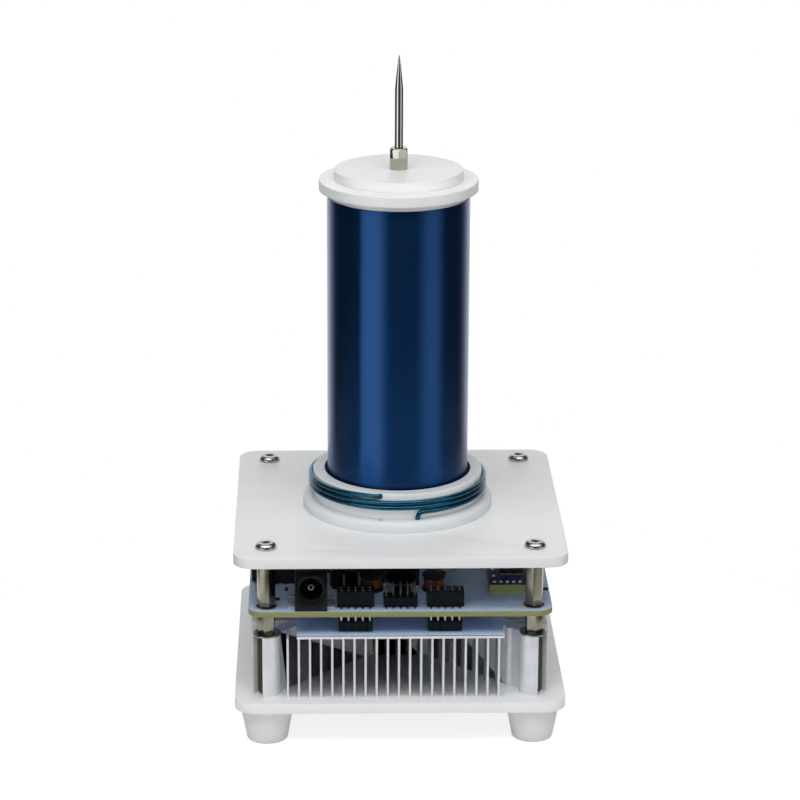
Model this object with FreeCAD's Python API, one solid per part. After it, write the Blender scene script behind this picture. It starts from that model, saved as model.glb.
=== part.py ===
import FreeCAD, Part
import math
import os

# Desktop resonant transformer, modelled as it stands on its four feet.
# Millimetres, +Z up, +X to the right of the power socket's side, the socket's mouth faces -Y.
# The origin is on the table, below the centre of the square plates.

Vector = FreeCAD.Vector
UP = Vector(0, 0, 1)

# Screws and the holes that take them
screw_radius = 1.5
screw_hole_gap = 0.2
thread_gap = 0.05
screw_head_radius = 3.0
screw_head_height = 1.7
screw_head_rounding = 1.15
screw_socket_radius = 1.15
screw_socket_depth = 1.05

# Square plates and the four stacks of spacers that join them
hole_spacing = 75.0
base_hole_margin = 9.05
base_thickness = 3.0
base_corner_radius = 6.08
top_hole_margin = 9.0
top_thickness = 3.0
top_corner_radius = 5.66

# Feet
foot_height = 10.7
foot_bottom_radius = 5.45
foot_top_radius = 7.19
foot_edge_rounding = 0.63
foot_recess_depth = 3.4
foot_recess_gap = 0.45
foot_screw_grip = 5.2

# Heat sink, an upright extrusion with four corner posts
sink_hole_margin = 4.45
sink_height = 17.6
sink_core_side_share = 0.2625
sink_arm_thickness = 3.78
sink_post_radius = 3.93
sink_bore_radius = 2.57
sink_slot_width = 3.67
fin_count = 20
fin_left_margin = 5.92
fin_right_margin = 9.89
fin_thickness = 0.6
stub_radius = 1.15
stub_side_inset = 6.45
stub_front_inset = 4.35
sink_screw_depth = 6.3

# Rods in the corner posts, washers and spacers
rod_gap = 0.2
washer_radius = 3.99
washer_thickness = 0.5
spacer_flats = 4.5
spacer_chamfer = 0.2
lower_spacer_height = 6.3
upper_spacer_height = 14.3
lower_stud_length = 4.2
upper_stud_grip = 3.8
spacer_bore_rest = 0.6
top_screw_grip = 5.2
lower_spacer_turns = (24.0, 39.5, 17.0, -9.0)
upper_spacer_turns = (-11.0, 19.0, 8.0, 20.0)

# Main board
board_hole_margin = 5.0
board_thickness = 1.6
board_corner_radius = 4.2

# Power board and what is soldered to it
power_board_post_gap = 4.51
power_board_thickness = 1.05
board_screw_radius = 1.25
board_screw_head_radius = 2.4
board_screw_head_height = 1.35
board_screw_spacing_share = 0.5594
transistor_width = 10.0
transistor_depth = 8.8
transistor_height = 4.3
transistor_edge = 0.5
transistor_column_spacing_share = 0.3
transistor_row_spacing_share = 0.3
transistor_row_shift_share = 0.025
tab_reach = 1.47
tab_thickness = 1.25
transistor_lead_width = 0.9
transistor_lead_reach = 2.73
transistor_lead_spacing = 5.1
transistor_lead_thickness = 0.5

# Pin headers and sockets, two rows of five
pin_pitch = 2.0
pin_columns = 5
pin_rows = 2
pin_width = 0.5
pin_gap = 0.04
pin_board_gap = 0.15
header_spacing_share = 0.2953
header_row_front = 5.2
header_depth = 4.2
header_end_wall = 0.75
socket_end_wall = 1.2
header_height = 3.0
socket_depth = 4.4
socket_height = 4.8
spare_height = 2.9
spare_pin_rise = 3.8
solder_foot_height = 0.3
solder_foot_reach = 1.2
pin_tip_rise = 0.15

# Power socket
jack_width = 9.0
jack_depth = 14.0
jack_height = 11.0
jack_centre_share = 0.5877
jack_face_inset = 0.21
jack_hole_radius = 3.15
jack_hole_height = 6.65
jack_hole_depth = 9.5
jack_pin_radius = 0.98
jack_pin_rounding = 0.26
jack_pin_bore_radius = 0.47
jack_pin_bore_depth = 5.2
jack_pin_setback = 1.6
jack_lip_width = 0.37
jack_rear_height = 7.76
jack_rear_length = 3.57
jack_tab_reach = 1.99
jack_tab_length = 1.78
jack_tab_thickness = 0.52
jack_tab_front = 2.31
jack_tab_spacing = 7.76

# Audio socket at the left edge
audio_inset = 2.1
audio_length = 12.6
audio_width = 6.5
audio_height = 5.2
audio_nose_radius = 2.6
audio_nose_length = 1.47
audio_hole_radius = 1.8
audio_hole_depth = 11.0
audio_row_share = 0.417
audio_tab_width = 1.05
audio_tab_reach = 0.84

# Wireless audio module, a small board on a carrier board
module_left_share = 0.5975
module_width = 14.9
module_front = 12.6
module_depth = 18.9
carrier_thickness = 0.63
module_thickness = 2.3
module_chip_width = 6.6
module_chip_depth = 4.4
module_chip_height = 1.15
module_chip_edge = 3.36
module_chip_front = 8.29
chip_pin_pitch = 0.65
chip_pin_count = 10
chip_pin_width = 0.31
chip_pin_reach = 0.84
chip_pin_height = 0.37
pad_radius = 0.58
pad_height = 0.42
pad_rise = 0.21
pad_spacing = 1.8
pad_count = 5
pad_edge = 1.47
pad_front = 1.89
side_pad_spacing = 4.83

# Capacitors, chokes and the other parts of the main board
can_radius = 4.2
can_height = 12.4
can_top_rounding = 0.73
can_foot_height = 0.84
can_foot_inset = 0.52
front_can_radius = 4.7
small_can_radius = 1.84
small_can_height = 5.66
choke_radius = 3.35
choke_flange = 0.94
choke_window = 3.15
choke_waist_radius = 1.78
choke_winding_radius = 3.0
choke_winding_gap = 0.05
film_length = 18.9
film_depth = 8.0
film_height = 12.2
film_rounding = 0.84
film_leg_rise = 0.42
film_leg_radius = 0.42
film_leg_spacing = 15.7
lamp_width = 3.7
lamp_depth = 2.9
lamp_height = 2.0
lamp_window_radius = 1.15
lamp_window_depth = 0.31
lamp_contact_reach = 0.37
lamp_contact_height = 0.84
soic_length = 5.0
soic_width = 3.9
soic_height = 1.45
soic_lift = 0.1
soic_pin_pitch = 1.27
soic_pin_count = 4
soic_pin_width = 0.42
soic_pin_reach = 0.95
soic_pin_height = 0.6
chip_part_length = 1.7
chip_part_width = 0.95
chip_part_height = 0.6
solder_base_radius = 1.15
solder_top_radius = 0.73
solder_height = 0.94

# Places on the main board, as shares of half its side
can_place_shares = ((-0.400, -0.232), (-0.188, -0.232))
front_can_place_shares = (0.015, -0.415)
small_can_place_shares = ((-0.4185, -0.563), (-0.3198, -0.563))
choke_place_shares = ((-0.1877, -0.605), (0.2321, -0.605))
film_place_shares = ((-0.1975, 0.383), (-0.1975, 0.615))
lamp_place_shares = (0.3259, -0.2346)
soic_place_shares = ((0.015, -0.655), (0.62, 0.10), (0.62, 0.40), (-0.70, 0.46))
chip_part_place_shares = (
    (-0.752, -0.603), (0.973, -0.620), (0.965, -0.360), (-0.815, -0.780), (0.45, -0.02),
    (0.78, -0.12), (0.62, 0.24), (0.78, 0.24), (-0.52, 0.50), (-0.86, 0.20), (-0.86, 0.04),
    (0.86, 0.52), (0.62, 0.58), (-0.30, 0.90), (0.10, 0.90), (0.45, 0.88), (-0.62, 0.86),
    (-0.70, 0.26),
)

# Primary coil: a flanged ring with three turns of thick wire
flange_margin = 2.94
flange_thickness = 3.45
flange_edge_rounding = 1.6
former_tube_gap = 1.2
former_wall = 3.25
former_height = 7.35
wire_radius = 0.55
wire_pitch = 1.57
wire_seat_gap = 0.05
wire_hole_gap = 0.1
lead_hole_gap = 0.25
top_turn_drop = 0.89
lower_lead_angle = 11.7
upper_end_angle = -17.0
winding_rounds = 3
lead_bend_radius = 1.7
dive_bend_radius = 2.1
dive_angle = 60.0
down_bend_radius = 1.35
spare_hole_radius = 0.57
spare_hole_angle = -12.0

# Secondary coil: a tall tube wound with hair-fine wire, too fine to show as turns
tube_radius = 19.85
tube_wall = 1.6
tube_length = 89.8
winding_thickness = 0.3
winding_fit_gap = 0.02
winding_top_margin = 1.78
winding_bottom_margin = 2.52
plug_gap = 0.15
plug_thickness = 3.15
disc_edge_rounding = 0.35

# Cap, needle holder and needle
cap_overhang = 2.56
cap_thickness = 2.95
cap_upper_step = 4.34
cap_upper_thickness = 2.8
holder_flats = 4.9
holder_turn = 28.5
holder_height = 6.0
holder_chamfer = 0.5
holder_thread_depth = 1.9
needle_radius = 1.2
needle_gap = 0.05
needle_seat_depth = 3.8
needle_cone_length = 9.8
needle_tip_radius = 0.13
needle_length = 29.9

# Leads of the secondary winding
fine_lead_radius = 0.42
fine_lead_bend_radius = 1.25
fine_hole_gap = 0.1
ground_lead_inset = 8.8
ground_lead_rise = 1.55

# Heights of the stack, from the table upwards
z_base = foot_height
z_sink = z_base + base_thickness
z_sink_top = z_sink + sink_height
z_washer_top = z_sink_top + washer_thickness
z_board = z_washer_top + lower_spacer_height
z_board_top = z_board + board_thickness
z_plate = z_board_top + upper_spacer_height
z_plate_top = z_plate + top_thickness
z_flange_top = z_plate_top + flange_thickness
z_former_top = z_flange_top + former_height
z_tube_top = z_flange_top + tube_length
z_cap_top = z_tube_top + cap_thickness
z_holder = z_cap_top + cap_upper_thickness
z_holder_top = z_holder + holder_height
z_power_top = z_sink_top + power_board_thickness

# Sizes and places that follow from the sizes above
base_side = hole_spacing + 2 * base_hole_margin
top_side = hole_spacing + 2 * top_hole_margin
sink_side = hole_spacing + 2 * sink_hole_margin
sink_core_side = sink_side * sink_core_side_share
fin_pitch = (hole_spacing - fin_left_margin - fin_right_margin) / (fin_count - 1)
board_side = hole_spacing + 2 * board_hole_margin
power_board_width = hole_spacing - 2 * (sink_post_radius + power_board_post_gap)
board_screw_spacing = hole_spacing * board_screw_spacing_share
header_spacing = board_side * header_spacing_share
jack_centre = board_side / 2 * jack_centre_share
audio_row = board_side / 2 * audio_row_share
module_left = board_side / 2 * module_left_share
board_front = -board_side / 2
audio_left = audio_inset - board_side / 2
header_row_y = board_front + header_row_front
jack_face_y = board_front + jack_face_inset
tube_bore = tube_radius - tube_wall
ground_lead_place = tube_bore - ground_lead_inset
former_bore = tube_radius + former_tube_gap
former_radius = former_bore + former_wall
flange_radius = former_radius + flange_margin
cap_radius = tube_radius + cap_overhang
cap_upper_radius = cap_radius - cap_upper_step
plug_radius = tube_bore - plug_gap
winding_radius = tube_radius + winding_fit_gap + winding_thickness
wire_path_radius = former_radius + wire_seat_gap + wire_radius
screw_hole_radius = screw_radius + screw_hole_gap
pin_row_length = pin_pitch * (pin_columns - 1)
level_tolerance = thread_gap / 10


def box(x0, x1, y0, y1, z0, z1):
    """A box between two corners."""
    return Part.makeBox(x1 - x0, y1 - y0, z1 - z0, Vector(x0, y0, z0))


def cylinder(radius, z0, z1, x=0.0, y=0.0):
    """An upright cylinder."""
    return Part.makeCylinder(radius, z1 - z0, Vector(x, y, z0))


def corner_places(spacing):
    """The corners of a square: front left, front right, back left, back right."""
    half = spacing / 2
    return [(-half, -half), (half, -half), (-half, half), (half, half)]


def hexagon(flats, z0, z1, x, y, turn):
    """An upright hexagonal bar, turned about its own axis."""
    corner_radius = flats / math.sqrt(3)
    points = []
    for index in range(7):
        angle = math.radians(60 * index + turn)
        points.append(Vector(x + corner_radius * math.cos(angle), y + corner_radius * math.sin(angle), z0))
    face = Part.Face(Part.makePolygon(points))
    return face.extrude(Vector(0, 0, z1 - z0))


def chamfered_hexagon(flats, z0, z1, x, y, turn, chamfer):
    """A hexagonal bar whose corners are turned down to a cone at both ends."""
    height = z1 - z0
    eased = flats / math.sqrt(3) - chamfer
    low = Part.makeCone(eased, eased + height, height, Vector(x, y, z0))
    high = Part.makeCone(eased + height, eased, height, Vector(x, y, z0))
    return hexagon(flats, z0, z1, x, y, turn).common(low).common(high)


def rounded_square(side, corner_radius, z0, z1):
    """A square plate with round corners."""
    half = side / 2
    plate = box(-half, half, -half, half, z0, z1)
    upright = [edge for edge in plate.Edges if abs(edge.tangentAt(edge.FirstParameter).z) > 0.9]
    return plate.makeFillet(corner_radius, upright)


def rounded_box(x0, x1, y0, y1, z0, z1, rounding):
    """A box with every edge rounded but those of its foot."""
    shape = box(x0, x1, y0, y1, z0, z1)
    edges = [edge for edge in shape.Edges if edge.BoundBox.ZMax > z0 + rounding]
    return shape.makeFillet(rounding, edges)


def edges_at(shape, z, least_radius):
    """The round edges of a shape that lie at one height."""
    found = []
    for edge in shape.Edges:
        bounds = edge.BoundBox
        level = abs(bounds.ZMin - z) < level_tolerance and abs(bounds.ZMax - z) < level_tolerance
        if level and isinstance(edge.Curve, Part.Circle) and edge.Curve.Radius > least_radius:
            found.append(edge)
    return found


def button_screw(x, y, z_seat, shank_length, up=True, head_radius=screw_head_radius):
    """A round-headed screw with a hexagonal socket; the shank runs from the seat away from the head."""
    profile = [
        Vector(0, 0, 0),
        Vector(head_radius, 0, 0),
        Vector(head_radius, 0, screw_head_height - screw_head_rounding),
    ]
    crown_radius = head_radius - screw_head_rounding
    middle_angle = math.radians(45)
    middle = Vector(
        crown_radius + screw_head_rounding * math.cos(middle_angle),
        0,
        screw_head_height - screw_head_rounding + screw_head_rounding * math.sin(middle_angle),
    )
    top_edge = Vector(crown_radius, 0, screw_head_height)
    top_centre = Vector(0, 0, screw_head_height)
    edges = [
        Part.LineSegment(profile[0], profile[1]).toShape(),
        Part.LineSegment(profile[1], profile[2]).toShape(),
        Part.Arc(profile[2], middle, top_edge).toShape(),
        Part.LineSegment(top_edge, top_centre).toShape(),
        Part.LineSegment(top_centre, profile[0]).toShape(),
    ]
    head = Part.Face(Part.Wire(edges)).revolve(Vector(0, 0, 0), UP, 360)
    socket_floor = screw_head_height - screw_socket_depth
    socket_ceiling = screw_head_height + screw_socket_depth
    socket = hexagon(2 * screw_socket_radius, socket_floor, socket_ceiling, 0, 0, 0)
    screw = head.cut(socket).fuse(cylinder(screw_radius, -shank_length, 0)).removeSplitter()
    if not up:
        screw.rotate(Vector(0, 0, 0), Vector(1, 0, 0), 180)
    screw.translate(Vector(x, y, z_seat))
    return screw


def export(shapes, name):
    """Write one node: a solid or a group of separate solids."""
    solids = []
    for shape in shapes if isinstance(shapes, list) else [shapes]:
        solids.extend(shape.Solids)
    node = solids[0] if len(solids) == 1 else Part.makeCompound(solids)
    node.exportStep("parts/" + name + ".step")
    print(name, "solids", len(solids), "valid", node.isValid(), "volume", round(node.Volume, 2))


# Plates, feet and the spacer stacks

def make_base_plate():
    """The lower square plate, with a hole over each foot."""
    plate = rounded_square(base_side, base_corner_radius, z_base, z_sink)
    for x, y in corner_places(hole_spacing):
        plate = plate.cut(cylinder(screw_hole_radius, z_base - base_thickness, z_sink + base_thickness, x, y))
    return plate


def make_foot(x, y):
    """A tapered foot, recessed from below for the head of its screw."""
    foot = Part.makeCone(foot_bottom_radius, foot_top_radius, foot_height, Vector(x, y, 0))
    foot = foot.makeFillet(foot_edge_rounding, edges_at(foot, 0, foot_bottom_radius / 2))
    recess_radius = screw_head_radius + foot_recess_gap
    foot = foot.cut(cylinder(recess_radius, -foot_recess_depth, foot_recess_depth, x, y))
    return foot.cut(cylinder(screw_hole_radius, 0, foot_height * 2, x, y))


def make_channel_rod(x, y):
    """A round threaded rod that stands inside a corner post of the heat sink."""
    radius = sink_bore_radius - rod_gap
    rod = cylinder(radius, z_sink, z_sink_top, x, y)
    return rod.cut(cylinder(screw_radius + thread_gap, z_sink - sink_height, z_sink_top + sink_height, x, y))


def make_washer(x, y):
    """A flat washer between a corner post and the spacer above it."""
    washer = cylinder(washer_radius, z_sink_top, z_washer_top, x, y)
    return washer.cut(cylinder(screw_hole_radius, z_sink, z_board, x, y))


def make_lower_spacer(x, y, turn):
    """A short hexagonal spacer with a stud below and a thread above."""
    bar = chamfered_hexagon(spacer_flats, z_washer_top, z_board, x, y, turn, spacer_chamfer)
    bore_depth = upper_stud_grip + spacer_bore_rest
    bar = bar.cut(cylinder(screw_radius + thread_gap, z_board - bore_depth, z_board + bore_depth, x, y))
    stud = cylinder(screw_radius, z_washer_top - lower_stud_length, z_washer_top, x, y)
    return bar.fuse(stud)


def make_upper_spacer(x, y, turn):
    """A long hexagonal spacer; its stud goes through the main board into the spacer below."""
    bar = chamfered_hexagon(spacer_flats, z_board_top, z_plate, x, y, turn, spacer_chamfer)
    bore_depth = top_screw_grip + spacer_bore_rest
    bar = bar.cut(cylinder(screw_radius + thread_gap, z_plate - bore_depth, z_plate + bore_depth, x, y))
    stud = cylinder(screw_radius, z_board - upper_stud_grip, z_board_top, x, y)
    return bar.fuse(stud)


# Heat sink

def sink_fins():
    """One quarter's fins, from the front edge back to the arms."""
    half = sink_side / 2
    fins = []
    for index in range(fin_count):
        x = fin_left_margin - hole_spacing / 2 + index * fin_pitch
        back = -abs(x)
        x0 = x - fin_thickness / 2
        fins.append(box(x0, x0 + fin_thickness, -half, min(back, -sink_core_side / 4), z_sink, z_sink_top))
    stub_x = hole_spacing / 2 - stub_side_inset
    fins.append(cylinder(stub_radius, z_sink, z_sink_top, stub_x, stub_front_inset - hole_spacing / 2))
    return fins


def make_heat_sink():
    """Core, diagonal arms, corner posts with slots, and four quarters of parallel fins."""
    half_core = sink_core_side / 2
    sink = box(-half_core, half_core, -half_core, half_core, z_sink, z_sink_top)
    arm_length = hole_spacing * math.sqrt(2)
    solids = []
    for turn in (45, 135):
        arm = box(
            -arm_length / 2, arm_length / 2, -sink_arm_thickness / 2, sink_arm_thickness / 2,
            z_sink, z_sink_top,
        )
        arm.rotate(Vector(0, 0, 0), UP, turn)
        solids.append(arm)
    for x, y in corner_places(hole_spacing):
        solids.append(cylinder(sink_post_radius, z_sink, z_sink_top, x, y))
    for quarter in range(4):
        for fin in sink_fins():
            fin.rotate(Vector(0, 0, 0), UP, 90 * quarter)
            solids.append(fin)
    sink = sink.multiFuse(solids).removeSplitter()
    cutters = []
    for x, y in corner_places(hole_spacing):
        cutters.append(cylinder(sink_bore_radius, z_sink - sink_height, z_sink_top + sink_height, x, y))
        slot = box(
            0, 2 * sink_post_radius, -sink_slot_width / 2, sink_slot_width / 2,
            z_sink - sink_height, z_sink_top + sink_height,
        )
        slot.rotate(Vector(0, 0, 0), UP, math.degrees(math.atan2(y, x)))
        slot.translate(Vector(x, y, 0))
        cutters.append(slot)
    for x, y in corner_places(board_screw_spacing):
        hole_radius = board_screw_radius + thread_gap
        cutters.append(cylinder(hole_radius, z_sink_top - sink_screw_depth, z_sink_top + sink_height, x, y))
    return sink.cut(cutters)


# Power board

def make_power_board():
    """The metal-cored board that carries the power transistors on the heat sink."""
    half_width = power_board_width / 2
    half = sink_side / 2
    board = box(-half_width, half_width, -half, half, z_sink_top, z_power_top)
    for x, y in corner_places(board_screw_spacing):
        hole_radius = board_screw_radius + screw_hole_gap
        board = board.cut(cylinder(hole_radius, z_sink, z_board, x, y))
    return board


def make_board_screw(x, y):
    """A flat-headed screw that holds the power board to an arm of the heat sink."""
    head = cylinder(board_screw_head_radius, z_power_top, z_power_top + board_screw_head_height, x, y)
    head = head.makeFillet(
        board_screw_head_height / 3,
        edges_at(head, z_power_top + board_screw_head_height, board_screw_head_radius / 2),
    )
    depth = sink_screw_depth - spacer_bore_rest
    return head.fuse(cylinder(board_screw_radius, z_sink_top - depth, z_power_top, x, y))


def transistor_places():
    """Centres of the four power transistors."""
    places = []
    for side in (-1, 1):
        for row in (-1, 1):
            y = sink_side * (row * transistor_row_spacing_share / 2 + transistor_row_shift_share)
            places.append((side * sink_side * transistor_column_spacing_share / 2, y))
    return places


def make_transistors():
    """Moulded bodies of the power transistors."""
    bodies = []
    for x, y in transistor_places():
        body = box(
            x - transistor_width / 2, x + transistor_width / 2,
            y - transistor_depth / 2, y + transistor_depth / 2,
            z_power_top, z_power_top + transistor_height,
        )
        top_edges = [edge for edge in body.Edges if edge.BoundBox.ZMin > z_power_top + transistor_height / 2]
        bodies.append(body.makeChamfer(transistor_edge, top_edges))
    return bodies


def make_transistor_tabs():
    """The soldered metal tab behind each transistor and the two leads before it."""
    metal = []
    for x, y in transistor_places():
        back = y + transistor_depth / 2
        half = transistor_width / 2 - transistor_edge
        tab_top = z_power_top + tab_thickness
        metal.append(box(x - half, x + half, back, back + tab_reach, z_power_top, tab_top))
        front = y - transistor_depth / 2
        for side in (-1, 1):
            lead_x = x + side * transistor_lead_spacing / 2
            half = transistor_lead_width / 2
            metal.append(
                box(
                    lead_x - half, lead_x + half, front - transistor_lead_reach, front,
                    z_power_top, z_power_top + transistor_lead_thickness,
                )
            )
    return metal


# Pin headers

def pin_places(centre_x):
    """Pin centres of a two-row header, with the side that each row's feet point to."""
    places = []
    for column in range(pin_columns):
        x = centre_x + (column - (pin_columns - 1) / 2) * pin_pitch
        for row in range(pin_rows):
            side = 2 * row - 1
            places.append((x, header_row_y + side * pin_pitch / 2, side))
    return places


def square_pin(x, y, side, z_foot, z_top, depth):
    """A square pin whose foot bends outwards and lies on its board."""
    half = pin_width / 2
    pin = box(x - half, x + half, y - half, y + half, z_foot, z_top)
    reach = header_row_y + side * (depth / 2 + solder_foot_reach)
    low, high = sorted((y, reach))
    foot = box(x - half, x + half, low, high, z_foot, z_foot + solder_foot_height)
    return pin.fuse(foot).removeSplitter()


def header_body(centre_x, z_foot, height, depth, end_wall):
    """A moulded strip with a square hole for each pin and notched ends between columns."""
    z0 = z_foot + solder_foot_height
    half = pin_row_length / 2 + end_wall
    body = box(
        centre_x - half, centre_x + half, header_row_y - depth / 2, header_row_y + depth / 2,
        z0, z_foot + height,
    )
    notch = pin_width / 2
    for column in range(pin_columns - 1):
        x = centre_x + (column - (pin_columns - 2) / 2) * pin_pitch
        for side in (-1, 1):
            face = header_row_y + side * depth / 2
            body = body.cut(
                box(
                    x - notch / 2, x + notch / 2, face - notch / 2, face + notch / 2,
                    z0 - notch, z_foot + 2 * height,
                )
            )
    for x, y, side in pin_places(centre_x):
        gap = pin_width / 2 + pin_gap
        body = body.cut(box(x - gap, x + gap, y - gap, y + gap, z_foot, z_foot + 2 * height))
    return body


def lower_header(centre_x):
    """A header on the power board, below the main board."""
    return header_body(centre_x, z_power_top, header_height, header_depth, header_end_wall)


def socket_body(centre_x):
    """A socket on the main board, above a header."""
    return header_body(centre_x, z_board_top, socket_height, socket_depth, socket_end_wall)


def spare_header():
    """The unused header in the middle of the main board."""
    return header_body(0, z_board_top, spare_height, header_depth, header_end_wall)


def make_header_pins():
    """Pins that join the power board to the main board through both headers."""
    top = z_board_top + socket_height + pin_tip_rise
    pins = []
    for side_x in (-1, 1):
        for x, y, side in pin_places(side_x * header_spacing / 2):
            pins.append(square_pin(x, y, side, z_power_top, top, header_depth))
    return pins


def make_socket_feet():
    """Soldered feet of the two sockets, in front of and behind each body."""
    feet = []
    half = pin_width / 2
    for side_x in (-1, 1):
        for x, y, side in pin_places(side_x * header_spacing / 2):
            inner = y + side * (half + pin_board_gap)
            outer = header_row_y + side * (socket_depth / 2 + solder_foot_reach)
            low, high = sorted((inner, outer))
            feet.append(box(x - half, x + half, low, high, z_board_top, z_board_top + solder_foot_height))
    return feet


def make_spare_pins():
    """Pins of the unused header in the middle."""
    top = z_board_top + spare_height + spare_pin_rise
    return [square_pin(x, y, side, z_board_top, top, header_depth) for x, y, side in pin_places(0)]


# Main board

def make_main_board():
    """The main board, with its corner holes and the holes that the header pins pass through."""
    board = rounded_square(board_side, board_corner_radius, z_board, z_board_top)
    cutters = []
    for x, y in corner_places(hole_spacing):
        cutters.append(cylinder(screw_hole_radius, z_washer_top, z_plate, x, y))
    pin_hole_radius = pin_width / math.sqrt(2) + pin_board_gap
    for side_x in (-1, 1):
        for x, y, side in pin_places(side_x * header_spacing / 2):
            cutters.append(cylinder(pin_hole_radius, z_washer_top, z_plate, x, y))
    return board.cut(cutters)


def make_jack_body():
    """Moulded body of the power socket, with a round mouth and a lower rear step."""
    x0 = -jack_centre - jack_width / 2
    x1 = -jack_centre + jack_width / 2
    y1 = jack_face_y + jack_depth
    step = y1 - jack_rear_length
    body = box(x0, x1, jack_face_y, step, z_board_top, z_board_top + jack_height)
    body = body.fuse(box(x0, x1, step, y1, z_board_top, z_board_top + jack_rear_height)).removeSplitter()
    z_hole = z_board_top + jack_hole_height
    mouth = Vector(-jack_centre, jack_face_y - jack_hole_depth, z_hole)
    body = body.cut(Part.makeCylinder(jack_hole_radius, 2 * jack_hole_depth, mouth, Vector(0, 1, 0)))
    edge = Part.makeCone(
        jack_hole_radius + jack_lip_width, jack_hole_radius, jack_lip_width,
        Vector(-jack_centre, jack_face_y, z_hole), Vector(0, 1, 0),
    )
    return body.cut(edge)


def make_jack_pin():
    """Centre pin of the power socket, with a rounded tip and a bore."""
    length = jack_hole_depth - jack_pin_setback
    base = Vector(-jack_centre, jack_face_y + jack_hole_depth, z_board_top + jack_hole_height)
    pin = Part.makeCylinder(jack_pin_radius, length, base, Vector(0, -1, 0))
    front = [edge for edge in pin.Edges if edge.BoundBox.YMax < base.y - length / 2]
    pin = pin.makeFillet(jack_pin_rounding, front)
    foot = Vector(base.x, jack_face_y + jack_pin_setback + jack_pin_bore_depth, base.z)
    return pin.cut(Part.makeCylinder(jack_pin_bore_radius, length, foot, Vector(0, -1, 0)))


def make_jack_tabs():
    """Soldered side tabs of the power socket."""
    tabs = []
    for side in (-1, 1):
        inner = -jack_centre + side * jack_width / 2
        outer = inner + side * jack_tab_reach
        low, high = sorted((inner, outer))
        for step in (0, 1):
            y = jack_face_y + jack_tab_front + step * jack_tab_spacing
            tabs.append(
                box(low, high, y, y + jack_tab_length, z_board_top, z_board_top + jack_tab_thickness)
            )
    return tabs


def make_audio_body():
    """Audio socket that looks out over the board's left edge."""
    x0 = audio_left
    body = box(
        x0, x0 + audio_length, -audio_row - audio_width / 2, -audio_row + audio_width / 2,
        z_board_top, z_board_top + audio_height,
    )
    z_axis = z_board_top + audio_height / 2
    nose = Part.makeCylinder(
        audio_nose_radius, audio_nose_length + audio_length / 4,
        Vector(x0 + audio_length / 4, -audio_row, z_axis), Vector(-1, 0, 0),
    )
    hole = Part.makeCylinder(
        audio_hole_radius, audio_hole_depth + audio_nose_length,
        Vector(x0 + audio_hole_depth - audio_nose_length, -audio_row, z_axis), Vector(-1, 0, 0),
    )
    return body.fuse(nose).removeSplitter().cut(hole)


def make_audio_tabs():
    """Soldered tabs of the audio socket."""
    tabs = []
    for side in (-1, 1):
        inner = -audio_row + side * audio_width / 2
        outer = inner + side * audio_tab_reach
        low, high = sorted((inner, outer))
        for step in (1, 2, 3):
            x = audio_left + audio_length * step / 4
            tabs.append(
                box(x, x + audio_tab_width, low, high, z_board_top, z_board_top + solder_foot_height)
            )
    return tabs


def module_levels():
    """Heights of the carrier's top and the module board's top."""
    carrier_top = z_board_top + carrier_thickness
    return carrier_top, carrier_top + module_thickness


def module_plate(z0, z1):
    """A plate with the outline of the wireless module."""
    y0 = board_front + module_front
    return box(module_left, module_left + module_width, y0, y0 + module_depth, z0, z1)


def module_chip_corner():
    """Front left corner of the module's chip."""
    return module_left + module_chip_edge, board_front + module_front + module_chip_front


def make_module_chip():
    """Moulded chip on the module."""
    z = module_levels()[1]
    x, y = module_chip_corner()
    return box(x, x + module_chip_width, y, y + module_chip_depth, z, z + module_chip_height)


def make_module_chip_pins():
    """Rows of fine pins before and behind the module's chip."""
    z = module_levels()[1]
    x, y = module_chip_corner()
    middle = x + module_chip_width / 2
    pins = []
    for index in range(chip_pin_count):
        pin_x = middle + (index - (chip_pin_count - 1) / 2) * chip_pin_pitch
        half = chip_pin_width / 2
        pins.append(box(pin_x - half, pin_x + half, y - chip_pin_reach, y, z, z + chip_pin_height))
        back = y + module_chip_depth
        pins.append(box(pin_x - half, pin_x + half, back, back + chip_pin_reach, z, z + chip_pin_height))
    return pins


def make_module_pads():
    """Soldered edge pads of the module, a row in front and a column at the left."""
    z = module_levels()[1]
    y = board_front + module_front + pad_front
    places = [(module_left + pad_edge + index * pad_spacing, y) for index in range(pad_count)]
    places += [(module_left + pad_edge, y + side_pad_spacing * step) for step in (1, 2)]
    pads = []
    for x, place_y in places:
        pads.append(Part.makeCone(pad_radius, pad_radius - pad_rise, pad_height, Vector(x, place_y, z)))
    return pads


def share_place(shares):
    """A place on the main board from its shares of half the board's side."""
    return shares[0] * board_side / 2, shares[1] * board_side / 2


def make_can(x, y, radius, height):
    """One upright round capacitor on its narrower foot."""
    z0 = z_board_top + can_foot_height
    can = cylinder(radius, z0, z_board_top + height, x, y)
    can = can.makeFillet(can_top_rounding, edges_at(can, z_board_top + height, radius / 2))
    return can.fuse(cylinder(radius - can_foot_inset, z_board_top, z0, x, y))


def make_cans():
    """The large capacitors: one between the chokes and a row behind them."""
    x, y = share_place(front_can_place_shares)
    cans = [make_can(x, y, front_can_radius, can_height)]
    for shares in can_place_shares:
        x, y = share_place(shares)
        cans.append(make_can(x, y, can_radius, can_height))
    return cans


def make_small_cans():
    """The two small capacitors behind the left socket."""
    cans = []
    for shares in small_can_place_shares:
        x, y = share_place(shares)
        cans.append(make_can(x, y, small_can_radius, small_can_height))
    return cans


def choke_places():
    """Centres of the two chokes behind the sockets."""
    return [share_place(shares) for shares in choke_place_shares]


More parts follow.
